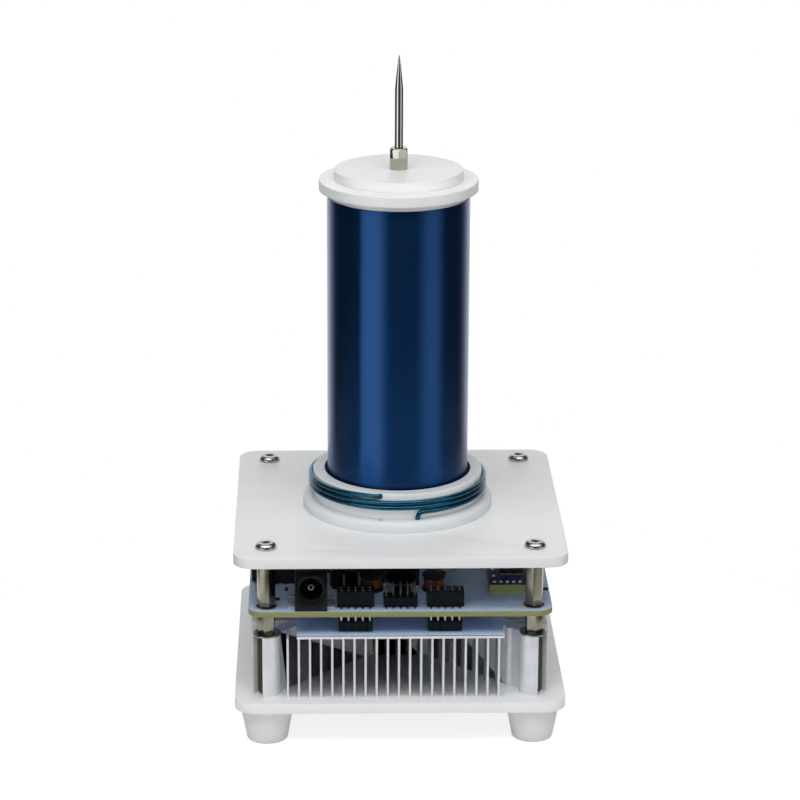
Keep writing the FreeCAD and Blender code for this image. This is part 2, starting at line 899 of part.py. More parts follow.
def make_choke_cores():
    """Drum cores: a waist between two round flanges."""
    cores = []
    z_window = z_board_top + choke_flange
    z_upper = z_window + choke_window
    for x, y in choke_places():
        core = cylinder(choke_radius, z_board_top, z_window, x, y)
        core = core.fuse(cylinder(choke_waist_radius, z_window, z_upper, x, y))
        cores.append(core.fuse(cylinder(choke_radius, z_upper, z_upper + choke_flange, x, y)))
    return cores


def make_choke_windings():
    """The wound bobbin space of each choke, hidden under the top plate and so a plain ring."""
    windings = []
    z0 = z_board_top + choke_flange + choke_winding_gap
    z1 = z_board_top + choke_flange + choke_window - choke_winding_gap
    for x, y in choke_places():
        ring = cylinder(choke_winding_radius, z0, z1, x, y)
        windings.append(ring.cut(cylinder(choke_waist_radius + choke_winding_gap, z0 - z1, 2 * z1, x, y)))
    return windings


def make_film_capacitors():
    """Box-shaped capacitors of the primary circuit, each on two short legs."""
    capacitors = []
    for shares in film_place_shares:
        x, y = share_place(shares)
        z0 = z_board_top + film_leg_rise
        x0 = x - film_length / 2
        body = rounded_box(
            x0, x0 + film_length, y - film_depth / 2, y + film_depth / 2, z0, z_board_top + film_height,
            film_rounding,
        )
        for side in (-1, 1):
            leg_x = x + side * film_leg_spacing / 2
            body = body.fuse(cylinder(film_leg_radius, z_board_top, z0, leg_x, y))
        capacitors.append(body)
    return capacitors


def make_lamp():
    """Small white indicator lamp with a shallow round window on top."""
    x, y = share_place(lamp_place_shares)
    x0 = x - lamp_width / 2
    y0 = y - lamp_depth / 2
    top = z_board_top + lamp_height
    body = box(x0, x0 + lamp_width, y0, y0 + lamp_depth, z_board_top, top)
    return body.cut(cylinder(lamp_window_radius, top - lamp_window_depth, top + lamp_height, x, y))


def make_lamp_contacts():
    """Metal contacts at the two ends of the lamp."""
    x, y = share_place(lamp_place_shares)
    contacts = []
    for side in (-1, 1):
        inner = x + side * lamp_width / 2
        outer = inner + side * lamp_contact_reach
        low, high = sorted((inner, outer))
        y0 = y - lamp_depth / 4
        contacts.append(
            box(low, high, y0, y0 + lamp_depth / 2, z_board_top, z_board_top + lamp_contact_height)
        )
    return contacts


def make_driver_chips():
    """Gate driver and control chips."""
    chips = []
    for shares in soic_place_shares:
        x, y = share_place(shares)
        chips.append(
            box(
                x - soic_length / 2, x + soic_length / 2, y - soic_width / 2, y + soic_width / 2,
                z_board_top + soic_lift, z_board_top + soic_height,
            )
        )
    return chips


def make_driver_chip_pins():
    """Pins along both long sides of each chip."""
    pins = []
    half = soic_pin_width / 2
    for shares in soic_place_shares:
        x, y = share_place(shares)
        for index in range(soic_pin_count):
            pin_x = x + (index - (soic_pin_count - 1) / 2) * soic_pin_pitch
            for side in (-1, 1):
                inner = y + side * soic_width / 2
                outer = inner + side * soic_pin_reach
                low, high = sorted((inner, outer))
                top = z_board_top + soic_pin_height
                pins.append(box(pin_x - half, pin_x + half, low, high, z_board_top, top))
    return pins


def make_chip_parts():
    """Small soldered resistors and capacitors."""
    parts = []
    for index, shares in enumerate(chip_part_place_shares):
        x, y = share_place(shares)
        half_x = chip_part_length / 2 if index % 2 else chip_part_width / 2
        half_y = chip_part_width / 2 if index % 2 else chip_part_length / 2
        parts.append(
            box(x - half_x, x + half_x, y - half_y, y + half_y, z_board_top, z_board_top + chip_part_height)
        )
    return parts


# Primary coil

def arc_between(start, tangent, end, end_tangent):
    """The arc that leaves start along tangent and reaches end along end_tangent."""
    turn = tangent.getAngle(end_tangent)
    chord = end.sub(start)
    radius = chord.Length / (2 * math.sin(turn / 2))
    along = end_tangent.sub(tangent * math.cos(turn))
    normal = along.normalize()
    centre = start.add(normal * radius)
    outward = start.add(end) * 0.5
    middle = outward.sub(centre).normalize() * radius
    return Part.Arc(start, centre.add(middle), end).toShape()


def biarc(start, tangent, end, end_tangent):
    """Two arcs that join two points along their tangents."""
    chord = end.sub(start)
    both = tangent.add(end_tangent)
    steepness = 2 * (1 - tangent.dot(end_tangent))
    along = chord.dot(both)
    reach = (math.sqrt(along * along + steepness * chord.dot(chord)) - along) / steepness
    first_corner = start.add(tangent * reach)
    second_corner = end.sub(end_tangent * reach)
    joint = first_corner.add(second_corner) * 0.5
    joint_tangent = second_corner.sub(first_corner).normalize()
    return [
        arc_between(start, tangent, joint, joint_tangent),
        arc_between(joint, joint_tangent, end, end_tangent),
    ]


def bend(corner, direction, new_direction, radius):
    """An arc of one radius round a corner, with its two ends."""
    turn = direction.getAngle(new_direction)
    reach = radius * math.tan(turn / 2)
    start = corner.sub(direction * reach)
    end = corner.add(new_direction * reach)
    return arc_between(start, direction, end, new_direction), start, end


def helix_point(angle, z):
    """A point of the winding; the angle grows from the front to the right."""
    return Vector(wire_path_radius * math.sin(angle), -wire_path_radius * math.cos(angle), z)


def helix_tangent(angle):
    """The winding's direction at an angle."""
    slope = wire_pitch / (2 * math.pi)
    direction = Vector(wire_path_radius * math.cos(angle), wire_path_radius * math.sin(angle), slope)
    return direction.normalize()


def winding_angles():
    """Angles where the winding starts, above the lower lead, and where it ends."""
    start = math.radians(lower_lead_angle) + math.asin(lead_bend_radius / wire_path_radius)
    end = math.radians(upper_end_angle + 360 * winding_rounds)
    return start, end


def winding_height(angle):
    """Height of the winding's centre line at an angle."""
    end = winding_angles()[1]
    return z_former_top - top_turn_drop - wire_pitch * (end - angle) / (2 * math.pi)


def primary_edges():
    """Centre line of the primary wire: lower lead, turns, and the end that dives into the ring."""
    start_angle, end_angle = winding_angles()
    start = helix_point(start_angle, winding_height(start_angle))
    start_tangent = helix_tangent(start_angle)
    turn = UP.getAngle(start_tangent)
    corner = start.sub(start_tangent * (lead_bend_radius * math.tan(turn / 2)))
    first_arc, lead_top, unused = bend(corner, UP, start_tangent, lead_bend_radius)
    lower_end = Vector(corner.x, corner.y, z_board_top)
    edges = [Part.LineSegment(lower_end, lead_top).toShape(), first_arc]
    quarters = int(math.ceil((end_angle - start_angle) / (math.pi / 2)))
    step = (end_angle - start_angle) / quarters
    for index in range(quarters):
        low = start_angle + index * step
        high = low + step
        edges += biarc(
            helix_point(low, winding_height(low)), helix_tangent(low),
            helix_point(high, winding_height(high)), helix_tangent(high),
        )
    return edges, dive_edges(end_angle)


def dive_edges(end_angle):
    """The upper end: it turns inwards, then down through the ring, the flange and the plate."""
    end = helix_point(end_angle, winding_height(end_angle))
    tangent = helix_tangent(end_angle)
    level = Vector(math.cos(end_angle), math.sin(end_angle), 0)
    inward = Vector(-math.sin(end_angle), math.cos(end_angle), 0)
    dive = math.radians(dive_angle)
    heading = (level * math.cos(dive)).add(inward * math.sin(dive)).normalize()
    corner = end.add(tangent * (dive_bend_radius * math.tan(tangent.getAngle(heading) / 2)))
    inward_arc, unused, turned = bend(corner, tangent, heading, dive_bend_radius)
    down = Vector(0, 0, -1)
    down_corner = turned.add(heading * down_bend_radius)
    down_arc, unused, straight = bend(down_corner, heading, down, down_bend_radius)
    foot = Vector(straight.x, straight.y, z_board_top)
    return [inward_arc, down_arc, Part.LineSegment(straight, foot).toShape()]


def sweep(edges, radius):
    """A round tube along joined edges."""
    path = Part.Wire(edges)
    first = path.OrderedEdges[0]
    start = first.valueAt(first.FirstParameter)
    direction = first.tangentAt(first.FirstParameter)
    profile = Part.Wire([Part.makeCircle(radius, start, direction)])
    return path.makePipeShell([profile], True, False)


def least_gap(edges, radius, neighbour_length):
    """Least gap of a tube to itself, measured on points along its centre line."""
    points = []
    travelled = 0.0
    spacing = radius / 2
    for edge in edges:
        count = max(2, int(edge.Length / spacing))
        for point in edge.discretize(count):
            if points:
                travelled += point.distanceToPoint(points[-1][0])
            points.append((point, travelled))
    least = None
    for index, (point, place) in enumerate(points):
        for other, other_place in points[index + 1:]:
            if other_place - place < neighbour_length:
                continue
            distance = point.distanceToPoint(other)
            if least is None or distance < least:
                least = distance
    return least - 2 * radius


def make_primary_winding():
    """The primary wire in one unbroken piece, leads included."""
    turns, dive = primary_edges()
    edges = turns + dive
    tube = sweep(edges, wire_radius)
    length = sum(edge.Length for edge in edges)
    expected = math.pi * wire_radius ** 2 * length
    print("primary wire: length", round(length, 1), "volume over section times length",
          round(tube.Volume / expected, 5))
    bends = [edge.Curve.Radius for edge in edges if isinstance(edge.Curve, Part.Circle)]
    print("primary wire: least bend radius", round(min(bends), 2), "wire diameter", 2 * wire_radius)
    print("primary wire: least gap to itself", round(least_gap(edges, wire_radius, 6 * wire_radius), 3))
    return tube


def lead_places():
    """Where the two leads of the primary come down."""
    turns, dive = primary_edges()
    lower = turns[0].Vertexes[0].Point
    upper = dive[-1].Vertexes[-1].Point
    return [(lower.x, lower.y), (upper.x, upper.y)]


def cut_lead_holes(shape, z0, z1, radius):
    """Cut the holes of both primary leads and of the ground lead."""
    for x, y in lead_places():
        shape = shape.cut(cylinder(radius, z0, z1, x, y))
    ground_radius = fine_lead_radius + lead_hole_gap
    return shape.cut(cylinder(ground_radius, z0, z1, ground_lead_place, 0))


def make_primary_flange():
    """The disc under the primary ring."""
    flange = cylinder(flange_radius, z_plate_top, z_flange_top)
    flange = flange.makeFillet(flange_edge_rounding, edges_at(flange, z_flange_top, former_radius))
    flange = flange.cut(cylinder(screw_hole_radius, z_plate, z_former_top))
    angle = math.radians(spare_hole_angle)
    spare_place = flange_radius - 3 * spare_hole_radius
    spare = cylinder(
        spare_hole_radius, z_plate, z_former_top,
        spare_place * math.sin(angle), -spare_place * math.cos(angle),
    )
    return cut_lead_holes(flange.cut(spare), z_plate, z_former_top, wire_radius + lead_hole_gap)


def make_primary_former():
    """The ring that carries the primary turns, with the hole that the upper end dives into."""
    ring = cylinder(former_radius, z_flange_top, z_former_top)
    ring = ring.makeFillet(disc_edge_rounding, edges_at(ring, z_former_top, former_bore))
    ring = ring.cut(cylinder(former_bore, z_plate, z_former_top + former_height))
    dive = dive_edges(winding_angles()[1])
    return ring.cut(sweep(dive, wire_radius + wire_hole_gap))


def make_top_plate():
    """The upper square plate, with its screw holes and lead holes."""
    plate = rounded_square(top_side, top_corner_radius, z_plate, z_plate_top)
    for x, y in corner_places(hole_spacing) + [(0, 0)]:
        plate = plate.cut(cylinder(screw_hole_radius, z_board_top, z_flange_top, x, y))
    return cut_lead_holes(plate, z_board_top, z_flange_top, wire_radius + lead_hole_gap)


def make_solder_joints():
    """Solder cones where the three coil leads meet the main board."""
    joints = []
    places = [(x, y, wire_radius) for x, y in lead_places()] + [(ground_lead_place, 0, fine_lead_radius)]
    for x, y, radius in places:
        cone = Part.makeCone(solder_base_radius, solder_top_radius, solder_height, Vector(x, y, z_board_top))
        joints.append(cone.cut(cylinder(radius + winding_fit_gap, z_board, z_plate, x, y)))
    return joints


# Secondary coil and cap

def make_secondary_tube():
    """The white tube under the fine winding, with a side hole for each end of the winding."""
    tube = cylinder(tube_radius, z_flange_top, z_tube_top)
    tube = tube.cut(cylinder(tube_bore, z_plate, z_tube_top + tube_length))
    for z in (ground_lead_height(), top_lead_height()):
        inside = Vector(tube_bore - tube_wall / 2, 0, z)
        hole_radius = fine_lead_radius + fine_hole_gap
        tube = tube.cut(Part.makeCylinder(hole_radius, 2 * tube_wall, inside, Vector(1, 0, 0)))
    return tube


def make_secondary_winding():
    """The fine winding as the smooth sleeve that it looks like."""
    z0 = z_flange_top + winding_bottom_margin
    z1 = z_tube_top - winding_top_margin
    sleeve = cylinder(winding_radius, z0, z1)
    return sleeve.cut(cylinder(tube_radius + winding_fit_gap, z_plate, z_tube_top))


def disc(radius, z0, z1, hole_radius, rounding=0.0):
    """A disc with a centre hole, its upper edge eased where it shows."""
    shape = cylinder(radius, z0, z1)
    if rounding:
        shape = shape.makeFillet(rounding, edges_at(shape, z1, radius / 2))
    return shape.cut(cylinder(hole_radius, z0 - radius, z1 + radius))


def make_base_plug():
    """The disc that centres the tube on the flange, held by the base screw."""
    top = z_flange_top + plug_thickness
    plug = disc(plug_radius, z_flange_top, top, screw_radius + thread_gap)
    ground_radius = fine_lead_radius + lead_hole_gap
    return plug.cut(cylinder(ground_radius, z_plate, z_former_top, ground_lead_place, 0))


def make_needle_holder():
    """The hexagonal holder, threaded from below and bored from above for the needle."""
    holder = chamfered_hexagon(holder_flats, z_holder, z_holder_top, 0, 0, holder_turn, holder_chamfer)
    holder = holder.cut(cylinder(screw_radius + thread_gap, z_cap_top, z_holder + holder_thread_depth))
    seat = z_holder_top - needle_seat_depth
    return holder.cut(cylinder(needle_radius + needle_gap, seat, z_holder_top + needle_seat_depth))


def make_needle():
    """The discharge needle, standing in its holder."""
    z0 = z_holder_top - needle_seat_depth
    z_cone = z0 + needle_length - needle_cone_length
    rod = cylinder(needle_radius, z0, z_cone)
    cone = Part.makeCone(needle_radius, needle_tip_radius, needle_cone_length, Vector(0, 0, z_cone))
    return rod.fuse(cone)


def ground_lead_height():
    """Height where the foot of the winding passes through the tube."""
    return z_flange_top + plug_thickness + ground_lead_rise


def top_lead_height():
    """Height where the top of the winding passes through the tube, level with the cap screw's head."""
    return z_tube_top - plug_thickness - (screw_head_height - screw_head_rounding)


def winding_reach():
    """How far out a lead's flat end goes before its rim meets the winding's inner face."""
    return math.sqrt((tube_radius + winding_fit_gap) ** 2 - fine_lead_radius ** 2)


def make_ground_lead():
    """Lead from the foot of the winding into the tube and down to the main board."""
    z = ground_lead_height()
    corner = Vector(ground_lead_place, 0, z)
    arc, first, last = bend(corner, Vector(-1, 0, 0), Vector(0, 0, -1), fine_lead_bend_radius)
    edges = [
        Part.LineSegment(Vector(winding_reach(), 0, z), first).toShape(),
        arc,
        Part.LineSegment(last, Vector(ground_lead_place, 0, z_board_top)).toShape(),
    ]
    return sweep(edges, fine_lead_radius)


def make_top_lead():
    """Lead inside the tube from the winding's top end to the head of the cap screw."""
    start = Vector(screw_head_radius, 0, top_lead_height())
    return Part.makeCylinder(fine_lead_radius, winding_reach() - screw_head_radius, start, Vector(1, 0, 0))


def build_base():
    """Write the plates, feet, spacers and the heat sink."""
    corners = corner_places(hole_spacing)
    foot_shank = foot_height - foot_recess_depth + base_thickness + foot_screw_grip
    export(make_base_plate(), "base_plate")
    export([make_foot(x, y) for x, y in corners], "feet")
    export([button_screw(x, y, foot_recess_depth, foot_shank, False) for x, y in corners], "foot_screws")
    export(make_heat_sink(), "heat_sink")
    export([make_channel_rod(x, y) for x, y in corners], "channel_rods")
    export([make_washer(x, y) for x, y in corners], "post_washers")
    lower = [make_lower_spacer(x, y, turn) for (x, y), turn in zip(corners, lower_spacer_turns)]
    upper = [make_upper_spacer(x, y, turn) for (x, y), turn in zip(corners, upper_spacer_turns)]
    export(lower, "lower_standoffs")
    export(upper, "upper_standoffs")
    export(make_top_plate(), "top_plate")
    top_shank = top_thickness + top_screw_grip
    export([button_screw(x, y, z_plate_top, top_shank) for x, y in corners], "top_screws")


def build_power_board():
    """Write the power board and its parts."""
    export(make_power_board(), "power_board")
    export([make_board_screw(x, y) for x, y in corner_places(board_screw_spacing)], "board_screws")
    export(make_transistors(), "power_transistors")
    export(make_transistor_tabs(), "transistor_tabs")
    export(lower_header(-header_spacing / 2), "header_left")
    export(lower_header(header_spacing / 2), "header_right")
    export(make_header_pins(), "header_pins")


def build_main_board():
    """Write the main board and its parts."""
    carrier_top, module_top = module_levels()
    export(make_main_board(), "main_board")
    export(socket_body(-header_spacing / 2), "socket_left")
    export(socket_body(header_spacing / 2), "socket_right")
    export(make_socket_feet(), "socket_feet")
    export(spare_header(), "spare_header")
    export(make_spare_pins(), "spare_header_pins")
    export(make_jack_body(), "dc_jack_body")
    export(make_jack_pin(), "dc_jack_pin")
    export(make_jack_tabs(), "dc_jack_tabs")
    export(make_audio_body(), "audio_jack_body")
    export(make_audio_tabs(), "audio_jack_tabs")
    export(module_plate(z_board_top, carrier_top), "module_carrier")
    export(module_plate(carrier_top, module_top), "module_board")
    export(make_module_chip(), "module_chip")
    export(make_module_chip_pins(), "module_chip_pins")
    export(make_module_pads(), "module_pads")
    export(make_cans(), "bulk_capacitors")
    export(make_small_cans(), "small_capacitors")
    export(make_choke_cores(), "choke_cores")
    export(make_choke_windings(), "choke_windings")
    export(make_film_capacitors(), "film_capacitors")
    export(make_lamp(), "indicator_lamp")
    export(make_lamp_contacts(), "lamp_contacts")
    export(make_driver_chips(), "driver_chips")
    export(make_driver_chip_pins(), "driver_chip_pins")
    export(make_chip_parts(), "chip_parts")
    export(make_solder_joints(), "solder_joints")


def build_coils():
    """Write the primary, the secondary, the cap and the needle."""
    plug_top = z_flange_top + plug_thickness
    cap_plug_bottom = z_tube_top - plug_thickness
    cap_shank = plug_thickness + cap_thickness + cap_upper_thickness + holder_thread_depth - spacer_chamfer
    export(make_primary_flange(), "primary_flange")
    export(make_primary_former(), "primary_former")
    export(make_primary_winding(), "primary_winding")
    export(make_base_plug(), "base_plug")
    export(button_screw(0, 0, z_plate, plug_top - z_plate - spacer_chamfer, False), "base_screw")
    export(make_secondary_tube(), "secondary_tube")
    export(make_secondary_winding(), "secondary_winding")
    export(disc(plug_radius, cap_plug_bottom, z_tube_top, screw_hole_radius), "cap_plug")
    export(disc(cap_radius, z_tube_top, z_cap_top, screw_hole_radius, disc_edge_rounding), "cap_disc_lower")
    upper_disc = disc(cap_upper_radius, z_cap_top, z_holder, screw_hole_radius, disc_edge_rounding)
    export(upper_disc, "cap_disc_upper")
    export(button_screw(0, 0, cap_plug_bottom, cap_shank, False), "cap_screw")
    export(make_needle_holder(), "needle_holder")
    export(make_needle(), "discharge_needle")
    export(make_ground_lead(), "ground_lead")
    export(make_top_lead(), "top_lead")


os.makedirs("parts", exist_ok=True)
build_base()
build_power_board()
build_main_board()
build_coils()
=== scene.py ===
import logging
import math
from dataclasses import dataclass
from enum import Enum
from functools import cache
from typing import Sequence

import bmesh
import bpy
from mathutils import Matrix, Vector


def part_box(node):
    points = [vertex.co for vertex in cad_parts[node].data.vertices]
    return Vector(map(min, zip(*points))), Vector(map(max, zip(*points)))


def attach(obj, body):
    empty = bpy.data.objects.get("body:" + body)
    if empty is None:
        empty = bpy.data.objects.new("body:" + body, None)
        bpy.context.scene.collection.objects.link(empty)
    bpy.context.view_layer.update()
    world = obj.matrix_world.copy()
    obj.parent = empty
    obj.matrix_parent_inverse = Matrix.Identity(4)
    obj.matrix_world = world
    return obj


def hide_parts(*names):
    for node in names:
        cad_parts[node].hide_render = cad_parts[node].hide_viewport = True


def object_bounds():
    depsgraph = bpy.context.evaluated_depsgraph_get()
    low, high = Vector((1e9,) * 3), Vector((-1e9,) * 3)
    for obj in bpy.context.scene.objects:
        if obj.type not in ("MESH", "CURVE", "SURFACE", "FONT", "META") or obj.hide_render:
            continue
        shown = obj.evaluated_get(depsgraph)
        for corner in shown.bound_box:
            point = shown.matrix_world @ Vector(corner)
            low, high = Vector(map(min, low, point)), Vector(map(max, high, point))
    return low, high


# Looks of the desktop resonant transformer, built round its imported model.
# Metres, +Z up, the power socket's side faces -Y, the origin lies on the table below the plates' centre.

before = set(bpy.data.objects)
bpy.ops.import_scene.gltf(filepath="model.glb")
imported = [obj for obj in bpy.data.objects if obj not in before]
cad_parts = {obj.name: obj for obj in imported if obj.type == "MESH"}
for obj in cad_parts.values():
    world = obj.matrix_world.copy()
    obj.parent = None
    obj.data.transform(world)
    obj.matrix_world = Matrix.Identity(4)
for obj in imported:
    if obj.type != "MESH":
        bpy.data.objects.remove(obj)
for leftover in ("Cube", "Light", "Camera"):
    if leftover in bpy.data.objects:
        bpy.data.objects.remove(bpy.data.objects[leftover])
packed_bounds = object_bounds()

log = logging.getLogger("transformer")

Point = tuple[float, float]
Colour = tuple[float, float, float]
Socket = bpy.types.NodeSocket
Node = bpy.types.Node
Material = bpy.types.Material
Piece = bpy.types.Object
Shape = bmesh.types.BMesh


def mm(value: float) -> float:
    """Millimetres as metres."""
    return value / 1000


def paint(red: int, green: int, blue: int) -> Colour:
    """A screen colour from 0 to 255 as linear light."""
    return tuple((channel / 255) ** 2.2 for channel in (red, green, blue))


# Fineness of the meshes
MERGE_DISTANCE = mm(0.001)
POLE_RADIUS = mm(0.0005)
CREASE_ANGLE = math.radians(32)
FLAT_ANGLE = math.radians(0.6)
ROUND_STEPS = 96
FINE_ROUND_STEPS = 160
MIDDLE_ROUND_STEPS = 64
SMALL_ROUND_STEPS = 36

# Spacing of the four corner holes, which the plates, the sink and the main board share
HOLE_SPACING = mm(75.0)

# Parts of a value's range that colour and gloss follow
WHOLE_SPAN: Point = (0.0, 1.0)
GRAIN_SPAN: Point = (0.3, 0.7)
CLOUD_SPAN: Point = (0.35, 0.65)

# Widths that edges are eased by
HAIR = mm(0.05)
FINE = mm(0.08)
SOFT = mm(0.12)
ROUND = mm(0.2)


class Body(Enum):
    """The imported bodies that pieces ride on."""

    APPARATUS = "apparatus"
    NEEDLE = "needle"


class Slot(Enum):
    """The material slots that the finishes fall into."""

    ACRYLIC = "white_acrylic"
    FOOT = "white_foot"
    WHITE_PLASTIC = "white_plastic"
    STAINLESS = "stainless"
    NICKEL = "nickel_plated_brass"
    SINK = "sink_aluminium"
    METAL_CORE = "metal_core_board"
    LAMINATE = "board_laminate"
    MODULE = "module_laminate"
    BLACK = "black_plastic"
    TINNED = "tinned_metal"
    SOLDER = "solder"
    FERRITE = "ferrite"
    COPPER = "copper"
    FILM = "film_case"
    CERAMIC = "chip_ceramic"
    BLUE_WIRE = "blue_enamelled_copper"
    TEAL_WIRE = "teal_enamelled_copper"


# Node graphs and finishes

class Graph:
    """A node tree under construction."""

    def __init__(self, tree: bpy.types.NodeTree) -> None:
        """Take over a node tree to build in."""
        self.nodes = tree.nodes
        self.links = tree.links

    def add(self, kind: str, inputs: dict | None = None, **settings: object) -> Node:
        """Add a node.

        Args:
            kind: the node's type name.
            inputs: sockets to join and numbers to set, by socket name, identifier or place.
            settings: the node's own options.

        Returns:
            The new node.
        """
        node = self.nodes.new(kind)
        for option, value in settings.items():
            setattr(node, option, value)
        for key, value in (inputs or {}).items():
            named = (entry for entry in node.inputs if key in (entry.name, entry.identifier))
            socket = node.inputs[key] if isinstance(key, int) else next(named)
            if isinstance(value, Socket):
                self.links.new(value, socket)
            else:
                socket.default_value = value
        return node

    def reach(self, value: Socket, start: Point, end: tuple) -> Socket:
        """Move a value from its start range to an end range of numbers or sockets, held at its ends."""
        keys = ("From Min", "From Max", "To Min", "To Max")
        inputs = {"Value": value, **dict(zip(keys, (*start, *end)))}
        return self.add("ShaderNodeMapRange", inputs).outputs["Result"]

    def seen(self, *kinds: str) -> Socket:
        """A value of 1 for rays of the named kinds, and 0 for the others."""
        path = self.add("ShaderNodeLightPath")
        total = path.outputs[f"Is {kinds[0]} Ray"]
        for kind in kinds[1:]:
            inputs = {0: total, 1: path.outputs[f"Is {kind} Ray"]}
            total = self.add("ShaderNodeMath", inputs, operation="MAXIMUM").outputs[0]
        return total


class Recipe(Graph):
    """A material under construction, read on the piece's own coordinates."""

    def __init__(self, name: str) -> None:
        """Start an empty material.

        Args:
            name: the material's name.
        """
        self.material = bpy.data.materials.new(name)
        self.material.use_nodes = True
        super().__init__(self.material.node_tree)
        self.nodes.clear()
        self.output = self.nodes.new("ShaderNodeOutputMaterial")
        self.place = self.nodes.new("ShaderNodeTexCoord").outputs["Object"]

    def noise(self, size: float, detail: float = 2.0, stretch: Colour = (1.0, 1.0, 1.0)) -> Socket:
        """Soft noise with features of a given size.

        Args:
            size: the features' size in metres.
            detail: how many finer layers it has.
            stretch: how often it repeats along each axis.

        Returns:
            A value from 0 to 1.
        """
        mapping = self.add("ShaderNodeMapping", {"Vector": self.place, "Scale": stretch})
        inputs = {"Vector": mapping.outputs[0], "Scale": 1 / size, "Detail": detail}
        return self.add("ShaderNodeTexNoise", inputs).outputs["Fac"]

    def blend(self, share: object, first: object, second: object) -> Socket:
        """Mix two colours.

        Args:
            share: how much of the second.
            first: a colour or a socket.
            second: a colour or a socket.

        Returns:
            The mixed colour.
        """
        values = {"Factor_Float": share}
        for key, value in (("A_Color", first), ("B_Color", second)):
            values[key] = value if isinstance(value, Socket) else (*value, 1.0)
        node = self.add("ShaderNodeMix", values, data_type="RGBA")
        return next(entry for entry in node.outputs if entry.identifier == "Result_Color")

    def two_tones(self, value: Socket, span: Point, first: Colour, second: Colour) -> Socket:
        """Blend two colours over a span of a value."""
        return self.blend(self.reach(value, span, WHOLE_SPAN), first, second)

    def uneven(self, value: Socket, middle: float, share: float) -> Socket:
        """Vary a number round its middle by a share of it, after a grain's value."""
        return self.reach(value, GRAIN_SPAN, (middle * (1 - share), middle * (1 + share)))

    def relief(self, height: Socket, depth: float) -> Socket:
        """Surface relief from a value from 0 to 1, with its depth in metres."""
        return self.add("ShaderNodeBump", {"Height": height, "Distance": depth}).outputs["Normal"]

    def part_of_place(self, axis: str) -> Socket:
        """One coordinate of the piece's own place, X, Y or Z."""
        return self.add("ShaderNodeSeparateXYZ", {"Vector": self.place}).outputs[axis]

    def facing(self, axis: str) -> Socket:
        """How far the surface faces along an axis, X, Y or Z."""
        normal = self.add("ShaderNodeNewGeometry").outputs["True Normal"]
        return self.add("ShaderNodeSeparateXYZ", {"Vector": normal}).outputs[axis]

    def end(self, shader: Node) -> Material:
        """Join the shader to the output and return the finished material."""
        self.links.new(shader.outputs[0], self.output.inputs["Surface"])
        return self.material

    def close(self, inputs: dict) -> Material:
        """End the material in one shader with the given sockets."""
        return self.end(self.add("ShaderNodeBsdfPrincipled", inputs))


@dataclass(frozen=True)
class Finish:
    """What each finish has: a name and its material slot."""

    name: str
    slot: Slot

    def material(self) -> Material:
        """Build the finish's material."""
        raise NotImplementedError


@dataclass(frozen=True)
class Moulding(Finish):
    """Moulded or pressed plastic, rubber or ceramic."""

    colour: Colour
    shade: Colour
    roughness: float
    cloud_size: float = mm(9)
    grain_size: float = mm(0.25)
    grain_depth: float = mm(0.004)
    grain_detail: float = 3.0
    glow: float = 0.0
    glow_reach: float = mm(1.2)
    gloss: float = 0.5
    uneven_share: float = 0.12

    def material(self) -> Material:
        """Build the finish: cloudy colour, uneven gloss and a fine grain."""
        recipe = Recipe(self.name)
        cloud = recipe.noise(self.cloud_size)
        grain = recipe.noise(self.grain_size, self.grain_detail)
        return recipe.close({
            "Base Color": recipe.two_tones(cloud, GRAIN_SPAN, self.colour, self.shade),
            "Roughness": recipe.uneven(grain, self.roughness, self.uneven_share),
            "Specular IOR Level": self.gloss,
            "Subsurface Weight": self.glow,
            "Subsurface Radius": (self.glow_reach, self.glow_reach, self.glow_reach),
            "Subsurface Scale": 1.0,
            "Normal": recipe.relief(grain, self.grain_depth),
        })


@dataclass(frozen=True)
class Metal(Finish):
    """Bare or plated metal, with drawn lines along one axis."""

    colour: Colour
    shade: Colour
    roughness: float
    line_size: float = mm(0.35)
    line_stretch: Colour = (1.0, 1.0, 0.06)
    line_depth: float = mm(0.003)
    cloud_size: float = mm(5)
    cloud_detail: float = 3.0
    metal: float = 1.0
    uneven_share: float = 0.3

    def material(self) -> Material:
        """Build the finish: two tones, uneven gloss and fine lines."""
        recipe = Recipe(self.name)
        cloud = recipe.noise(self.cloud_size, self.cloud_detail)
        lines = recipe.noise(self.line_size, stretch=self.line_stretch)
        return recipe.close({
            "Base Color": recipe.two_tones(cloud, CLOUD_SPAN, self.colour, self.shade),
            "Metallic": self.metal,
            "Roughness": recipe.uneven(lines, self.roughness, self.uneven_share),
            "Normal": recipe.relief(lines, self.line_depth),
        })


